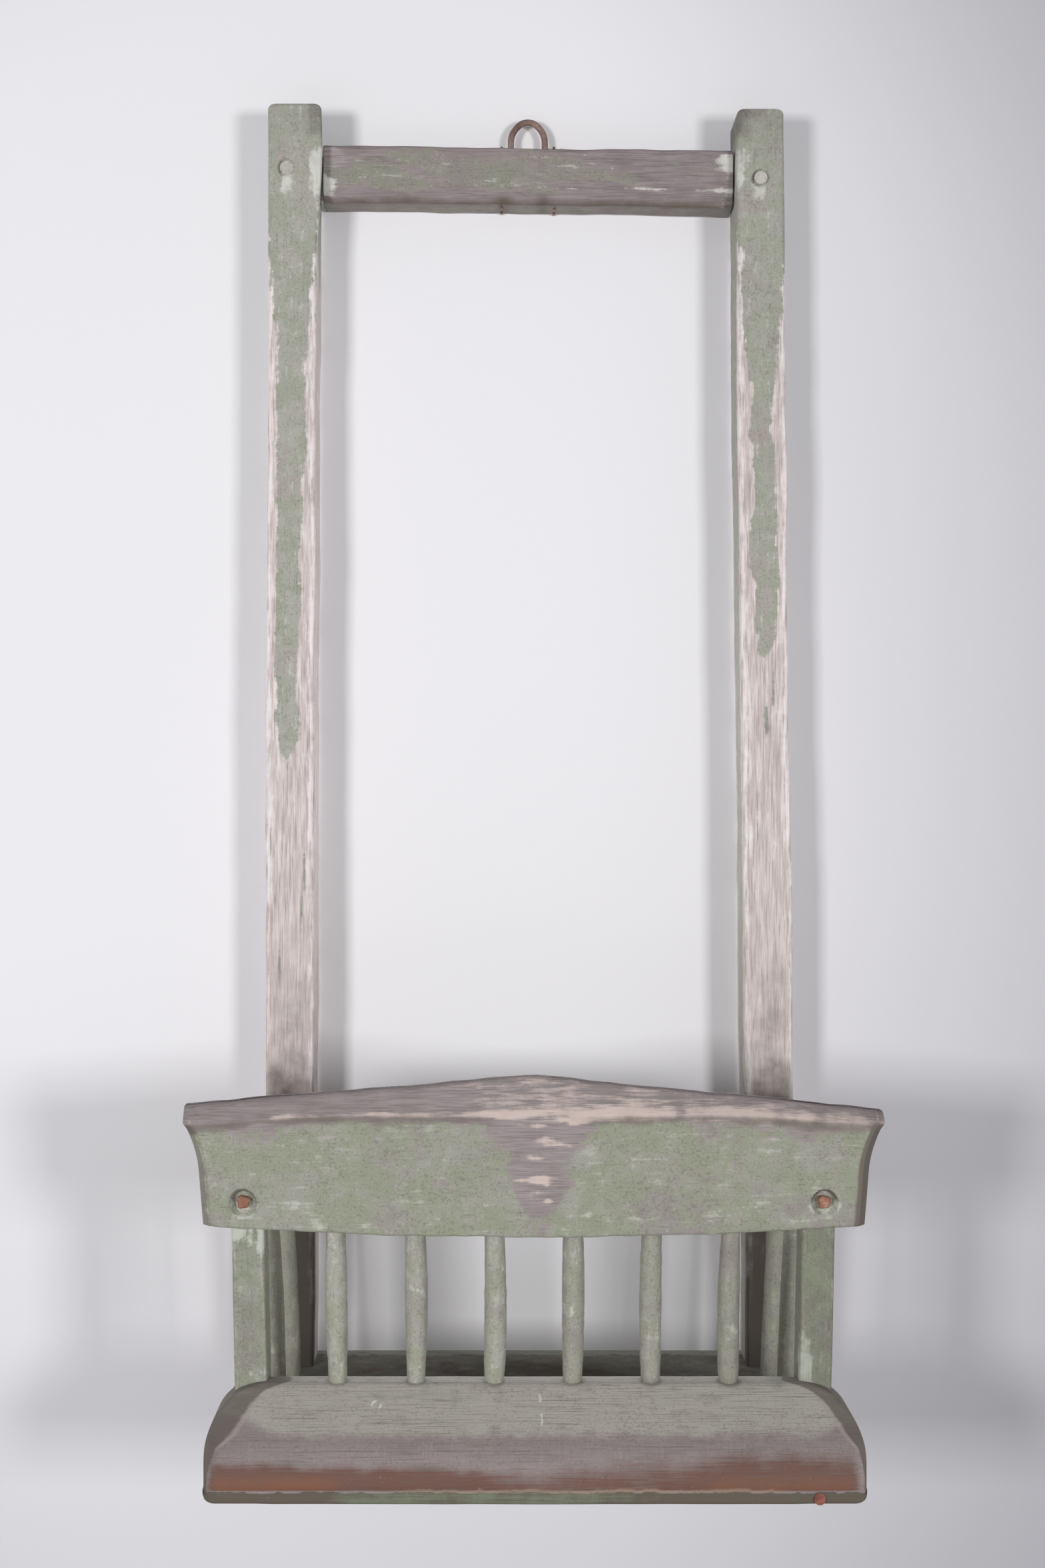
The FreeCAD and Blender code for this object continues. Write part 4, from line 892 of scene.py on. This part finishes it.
# Crest rail: a bowed pine board bolted across the back, its top bevelled and its ends swept to ears.
# Heads and hands have rubbed the paint off the middle and the top, and grey wood shows there.
crest_ear = 0.2115
crest_base = 0.1995
crest_waist = 0.202
crest_end_base = 0.157
crest_ear_z = 0.228
crest_tip_z = 0.219
crest_waist_z = 0.188
crest_hollow = 0.0019
crest_edge = 0.0022
crest_lift = 0.0004
peak_round = 0.005
recess_radius = 0.0079
recess_depth = 0.006
bevel_slant = 0.008
bevel_tall = 0.0105
end_chamfer = 0.004
right_drop = 0.0034
worn_middle_x = 0.004

# Columns run from end to end, closer at the ears. Three more at each end fold in to close it.
fold = np.array([0.0, 0.4, 0.8])
ear_run = np.linspace(-1, -0.972, 16)
middle_run = np.linspace(-0.972, 0.972, 330)[1:-1]
across = np.concatenate([[-1] * 3, ear_run, middle_run, -ear_run[::-1], [1] * 3])[:, None]
folded = np.concatenate([fold, np.ones(len(across) - 6), fold[::-1]])[:, None]
from_peak = np.sqrt((across * crest_ear) ** 2 + peak_round ** 2)
even_top = crest_high.z + crest_lift - (crest_high.z - crest_ear_z) * from_peak / crest_ear
crest_top = even_top + 0.0005 * wander(across, 91, 0.7) - right_drop * np.clip(across, 0, 1)
crest_bottom = crest_low.z + (crest_end_base - crest_low.z) * across ** 2 + 0.0004 * wander(across, 92, 0.5)
crest_half = (crest_high.y - crest_low.y) / 2
edge = np.full_like(across, crest_edge)
a, b, _ = rounded_section(crest_half, (crest_top - crest_bottom) / 2, edge, 12, 64)
crest_z = b + (crest_top + crest_bottom) / 2
sweep = np.clip((crest_z - crest_waist_z) / (crest_tip_z - crest_waist_z), 0, 1)
below = np.clip((crest_z - crest_end_base) / (crest_waist_z - crest_end_base), 0, 1)
half_wide = crest_base + (crest_waist - crest_base) * below + (crest_ear - crest_waist) * sweep
half_wide = half_wide - 4 * crest_hollow * sweep * (1 - sweep)
crest_x = across * half_wide
from_end = half_wide - np.abs(crest_x)
arris_z = even_top - bevel_tall - bevel_tall * smooth(crest_ear, 0.0, np.abs(crest_x)) ** 2
from_arris = crest_z - arris_z
bevel = bevel_slant * np.clip(from_arris / (crest_top - arris_z), 0, 1)
below_bevel = smooth(0.002, -0.004, from_arris)
end_cut = below_bevel * np.clip(end_chamfer - from_end, 0, None)
bolt_low, bolt_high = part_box("crest_bolt_right")
bolt_x, bolt_z = (bolt_low.x + bolt_high.x) / 2, (bolt_low.z + bolt_high.z) / 2
from_bolt = np.hypot(np.abs(crest_x) - bolt_x, crest_z - bolt_z)
recess = recess_depth * smooth(recess_radius + 0.0003, recess_radius - 0.0009, from_bolt)
uneven = 0.0004 * wander(crest_x + 0.6 * crest_z, 93, 0.15)
crest_y = a + crest_middle_y + np.where(a < 0, np.maximum(bevel, end_cut) + recess + uneven, 0)
fold_y = crest_middle_y + 0.002
crest_rings = np.stack([crest_x, fold_y + folded * (crest_y - fold_y), crest_z], -1)

# The rubbed patch in the middle: its half width at each height, and paler spots in it, each as x,
# height, half width and half height.
patch_heights = [0.150, 0.159, 0.173, 0.187, 0.205, 0.220, 0.235]
patch_halves = [0.002, 0.008, 0.0145, 0.0195, 0.0205, 0.025, 0.030]
rubbed_spots = [
    (0.000, 0.2167, 0.009, 0.0028), (0.024, 0.2195, 0.013, 0.0026), (0.008, 0.2098, 0.016, 0.0023),
    (0.014, 0.2056, 0.008, 0.0023), (-0.001, 0.2000, 0.009, 0.0036), (0.002, 0.1852, 0.013, 0.0044),
    (-0.001, 0.1787, 0.008, 0.0046), (0.008, 0.1815, 0.003, 0.0026), (0.009, 0.1721, 0.003, 0.0016),
]
from_worn = np.abs(crest_x - worn_middle_x)
patch_half = np.interp(crest_z, patch_heights, patch_halves)
patch_half = patch_half * (1 + 0.12 * wander(crest_z + 0.2 * np.sign(crest_x), 95, 0.03))
rub_middle = smooth(1.5, 0.62, from_worn / patch_half) * (0.72 + 0.28 * smooth(0.158, 0.174, crest_z))
spots = 0.0
for spot_x, spot_z, spot_wide, spot_tall in rubbed_spots:
    spots = np.maximum(spots, bell(crest_x - spot_x, spot_wide) * bell(crest_z - spot_z, spot_tall))
along_grain = 0.55 * wander(crest_z + 0.06 * crest_x, 100, 0.012) + 0.25 * wander(crest_x, 101, 0.02)
spots = spots * (0.62 + along_grain)

# The bevel and its arris are bare, a painted shadow strip lies under it, the ends are dark, and each recess
# has painted shade on its upper side.
on_top = smooth(-0.006, 0.001, from_arris)
under_arris = smooth(-0.030, -0.003, from_arris) * (0.72 + 0.50 * wander(crest_x, 94, 0.16))
rub_tall = 0.0022 + 0.0030 * smooth(0.0, 0.06, crest_x)
rub_run = 0.45 * smooth(-0.19, -0.15, crest_x) + 0.10 * smooth(0.0, 0.05, crest_x)
on_arris = bell(from_arris, rub_tall) * rub_run * (0.95 + 0.4 * wander(crest_x, 99, 0.07))
at_middle = bell(from_worn, 0.055)
cut_face = smooth(0.0062, 0.0048, from_end - 0.0012 * (crest_x > 0)) * below_bevel
cut_arris = bell(from_end - end_chamfer, 0.0008)
right_run = between(0.03, 0.07, 0.15, 0.20, crest_x) * on_top
strip_tall = 0.0075 + 0.003 * wander(crest_x, 98, 0.13)
shadow_strip = smooth(1.0, 0.4, -from_arris / strip_tall) * smooth(0.001, -0.002, from_arris)
# Painted shade inside each recess's rim, strongest on its upper side.
recess_rim_shade = bell(from_bolt - 0.0072, 0.0010) * smooth(-0.004, 0.004, crest_z - bolt_z)
round_recess = between(0.006, 0.0078, 0.008, 0.012, from_bolt)
chalky = smooth(0.1, 0.8, wander(crest_x, 96, 0.10) + wander(crest_z, 97, 0.06))
top_dirt = 0.16 * on_top * (1 - at_middle) * (1 - 0.8 * right_run)
end_dirt = (0.45 + 0.60 * (crest_x > 0)) * cut_face
crest_marks = {
    "bare": 1.1 * on_top + 0.66 * under_arris + 0.85 * rub_middle - 0.10 - 0.3 * cut_face,
    "fresh": 0.02 * on_top + on_arris + 0.42 * at_middle * on_top + 0.80 * spots + 0.24 * right_run,
    "pale": 0.26 * chalky * smooth(0.0, -0.02, from_arris) + 0.38 * round_recess + 0.45 * cut_arris
    + 0.30 * smooth(0.0074, 0.0064, from_bolt),
    "dirt": 0.6 * shadow_strip * (1 - rub_middle) + 0.10 * smooth(0.02, 0.06, crest_x) + 0.9 * recess_rim_shade
    + top_dirt + end_dirt + 0.05 * rub_middle,
}
# Cloudy green paint frays into grey wood: the eye sees soft borders drawn out along the grain.
crest_wood = weathered_paint(
    "sage_paint_on_crest_board", "X", paint=("#909481", "#9a9a8f", "#918986"), wood=("#837a7a", "#9b9191"),
    fresh="#c8b7b0", chalk="#babbb0", grime="#6c645d", fray=1.4)
crest = skin("crest_board", crest_rings, crest_marks, crest_wood, fans=False)
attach(crest, "seat_frame")
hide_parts("crest_rail")


# Crest bolts: hand-forged square heads in round recesses, their corners rusted away; the shank
# runs through the post to a washer and a nut. Fresh rust here is redder to the eye than elsewhere.
bolt_rust = dry_rust("red_rusted_bolt", ("#76523f", "#906451", "#aa8672"), 0.0014)
head_half = 0.0037
shank_half = 0.0030
head_tall = 0.004
shank_share = shank_half / head_half
for side in ("left", "right"):
    node = "crest_bolt_" + side
    low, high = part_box(node)
    head_end = low.y + head_tall
    # Each row is a place along the bolt, its half width as a share of the head's, and its roundness.
    outline = np.array([
        (low.y, 0.4, 0.7), (low.y, 0.62, 0.7), (low.y + 0.0003, 0.84, 0.7), (low.y + 0.0010, 1.0, 0.7),
        (head_end, 0.98, 0.7), (head_end, shank_share, 1.0), (high.y - 0.0006, shank_share, 1.0),
        (high.y, 0.6, 1.0), (high.y, 0.3, 1.0)])
    y, half_share, roundness = (column[:, None] for column in outline.T)
    half = head_half * half_share
    a, b, _ = rounded_section(half, half, half * roundness, 5, 5, 7)
    turn = np.arctan2(b, a)
    ragged = 1 + 0.07 * np.sin(3 * turn + 1.1) + 0.045 * np.sin(5 * turn)
    x = a * ragged + (low.x + high.x) / 2
    z = b * ragged + (low.z + high.z) / 2
    bolt = skin("bolt_" + side, np.stack([x, np.broadcast_to(y, a.shape), z], -1), {}, bolt_rust)
    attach(bolt, "seat_frame")
    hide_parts(node)


# Wall and floor: a plain pale plastered wall that the seat hangs on, curved into a floor below it.
# The plaster is matt; painted light falloff makes it dimmer to the right, lower down and towards the
# corners, and a painted shadow lies round the plank. It is clear from its back, so that the seat can be seen
# from there, over a second floor.
wall_y = cad_box[1].y + 0.0004
floor_z = -0.35
cove = 0.04
reach = 4.0
floor_reach = 2.4
painted_light_spot = (-0.15, wall_y, 0.45)
# Size of the painted shadow on the wall round the plank.
painted_shadow_wide, painted_shadow_tall = 0.22, 0.048
plaster, wall_tree = new_finish("plain_pale_wall")
wall_shader = wall_tree.nodes["Principled BSDF"]
place = add(wall_tree, "ShaderNodeTexCoord", {}, "Object")
wall_scale = (1 / painted_shadow_wide, 0, 1 / painted_shadow_tall)
nook = add(wall_tree, "ShaderNodeVectorMath", {0: place, 1: wall_scale}, operation="MULTIPLY")
wall_found = {
    "right": add(wall_tree, "ShaderNodeSeparateXYZ", {"Vector": place}, "X"),
    "high": add(wall_tree, "ShaderNodeSeparateXYZ", {"Vector": place}, "Z"),
    "far": add(wall_tree, "ShaderNodeVectorMath", {0: place, 1: painted_light_spot}, "Value", operation="DISTANCE"),
    "painted_shadow_by_plank": add(wall_tree, "ShaderNodeVectorMath", {0: nook}, "Value", operation="LENGTH"),
}
# Painted light falloff: darker to the right, lower down and away from the bright spot; then the painted
# shadow round the plank.
wall_tone = laid(wall_tree, wall_found, linear("#ecebee"), [
    (0.0, 0.62, 1.0, "#b8b7bd", {"right": 1}),
    (0.36, -0.10, 0.22, "#b0aeb3", {"high": 1}),
    (0.50, 0.86, 0.5, "#9f9ea3", {"far": 1}),
    (0.95, 0.30, 0.32, "#56545a", {"painted_shadow_by_plank": 1}),
])
wall_tree.links.new(wall_tone, wall_shader.inputs["Base Color"])
wall_shader.inputs["Roughness"].default_value = 0.9
wall_shader.inputs["Specular IOR Level"].default_value = 0.1
from_behind = add(wall_tree, "ShaderNodeNewGeometry", {}, "Backfacing")
clear = add(wall_tree, "ShaderNodeBsdfTransparent", {})
either = add(wall_tree, "ShaderNodeMixShader", {0: from_behind, 1: wall_shader.outputs[0], 2: clear})
wall_tree.links.new(either, wall_tree.nodes["Material Output"].inputs["Surface"])


def sheet(name, places, faces):
    """Open plastered surface of the stage from its corners and faces."""
    mesh = bpy.data.meshes.new(name)
    mesh.from_pydata(places, [], faces)
    mesh.shade_smooth()
    mesh.materials.append(plaster)
    return placed(name, mesh)


turn = np.linspace(0, np.pi / 2, 24)
sweep_y = np.concatenate([[wall_y], wall_y - cove + cove * np.cos(turn), [wall_y - floor_reach]])
sweep_z = np.concatenate([[reach], floor_z + cove - cove * np.sin(turn), [floor_z]])
paper = np.stack(np.broadcast_arrays([[-reach, reach]], sweep_y[:, None], sweep_z[:, None]), -1)
rows = np.arange(len(sweep_y) - 1)
strips = np.stack([2 * rows + 2, 2 * rows + 3, 2 * rows + 1, 2 * rows], -1)
backdrop = sheet("backdrop", paper.reshape(-1, 3).tolist(), strips.tolist())
backdrop.visible_shadow = False
near_y, far_y = wall_y - cove, wall_y + reach
floor_plan = ((-reach, near_y), (reach, near_y), (reach, far_y), (-reach, far_y))
floor_behind = sheet("floor_behind", [(x, y, floor_z) for x, y in floor_plan], [(0, 1, 2, 3)])


# Light: a soft square lamp on each side of the camera, the left one stronger, a far lamp behind
# the wall for views from there, and a pale room all round, dimmer as a light than as it is seen.
lamp_distance = 2.55
lamp_height = 0.44
lamp_side = 1.38
lamp_size = 0.45
back_distance = 8.0
back_size = 1.2
room_light, room_seen = 0.28, 0.75
lamp_turn = math.atan2(lamp_side, lamp_distance)
for name, x, y, turn, size, power in (
        ("left_lamp", -lamp_side, wall_y - lamp_distance, -lamp_turn, lamp_size, 36),
        ("right_lamp", lamp_side, wall_y - lamp_distance, lamp_turn, lamp_size, 30),
        ("back_lamp", 0, wall_y + back_distance, math.pi, back_size, 420)):
    lamp = bpy.data.lights.new(name, "AREA")
    lamp.shape = "SQUARE"
    lamp.size = size
    lamp.energy = power
    placed(name, lamp, (x, y, lamp_height), (math.pi / 2, 0, turn))
world = bpy.data.worlds.new("soft_room")
world.use_nodes = True
world_tree = world.node_tree
sky = world_tree.nodes["Background"]
sky.inputs["Color"].default_value = linear("#f4f4f6")
seen = 0.0
for ray in ("Is Camera Ray", "Is Glossy Ray", "Is Transmission Ray"):
    is_ray = add(world_tree, "ShaderNodeLightPath", {}, ray)
    seen = add(world_tree, "ShaderNodeMath", {0: is_ray, 1: seen}, operation="MAXIMUM")
strength = add(world_tree, "ShaderNodeMapRange", {"Value": seen, "To Min": room_light, "To Max": room_seen})
world_tree.links.new(strength, sky.inputs["Strength"])
bpy.context.scene.world = world
bpy.context.scene.view_settings.view_transform = "Standard"


# Camera: a 50 mm lens, level with the middle of the rails and square to the wall.
# It stands a little to the left, and its frame is shifted sideways, as by a crop.
camera = bpy.data.cameras.new("camera")
camera.lens = 50
camera.sensor_width = 36
image_tall = 2352
axis_from_middle = 44
camera.shift_x = axis_from_middle / image_tall
camera_x, camera_z = -0.0245, 0.423
camera_distance = 1.55
camera_place = (camera_x, cad_box[1].y - camera_distance, camera_z)
bpy.context.scene.camera = placed("camera", camera, camera_place, (math.pi / 2, 0, 0))
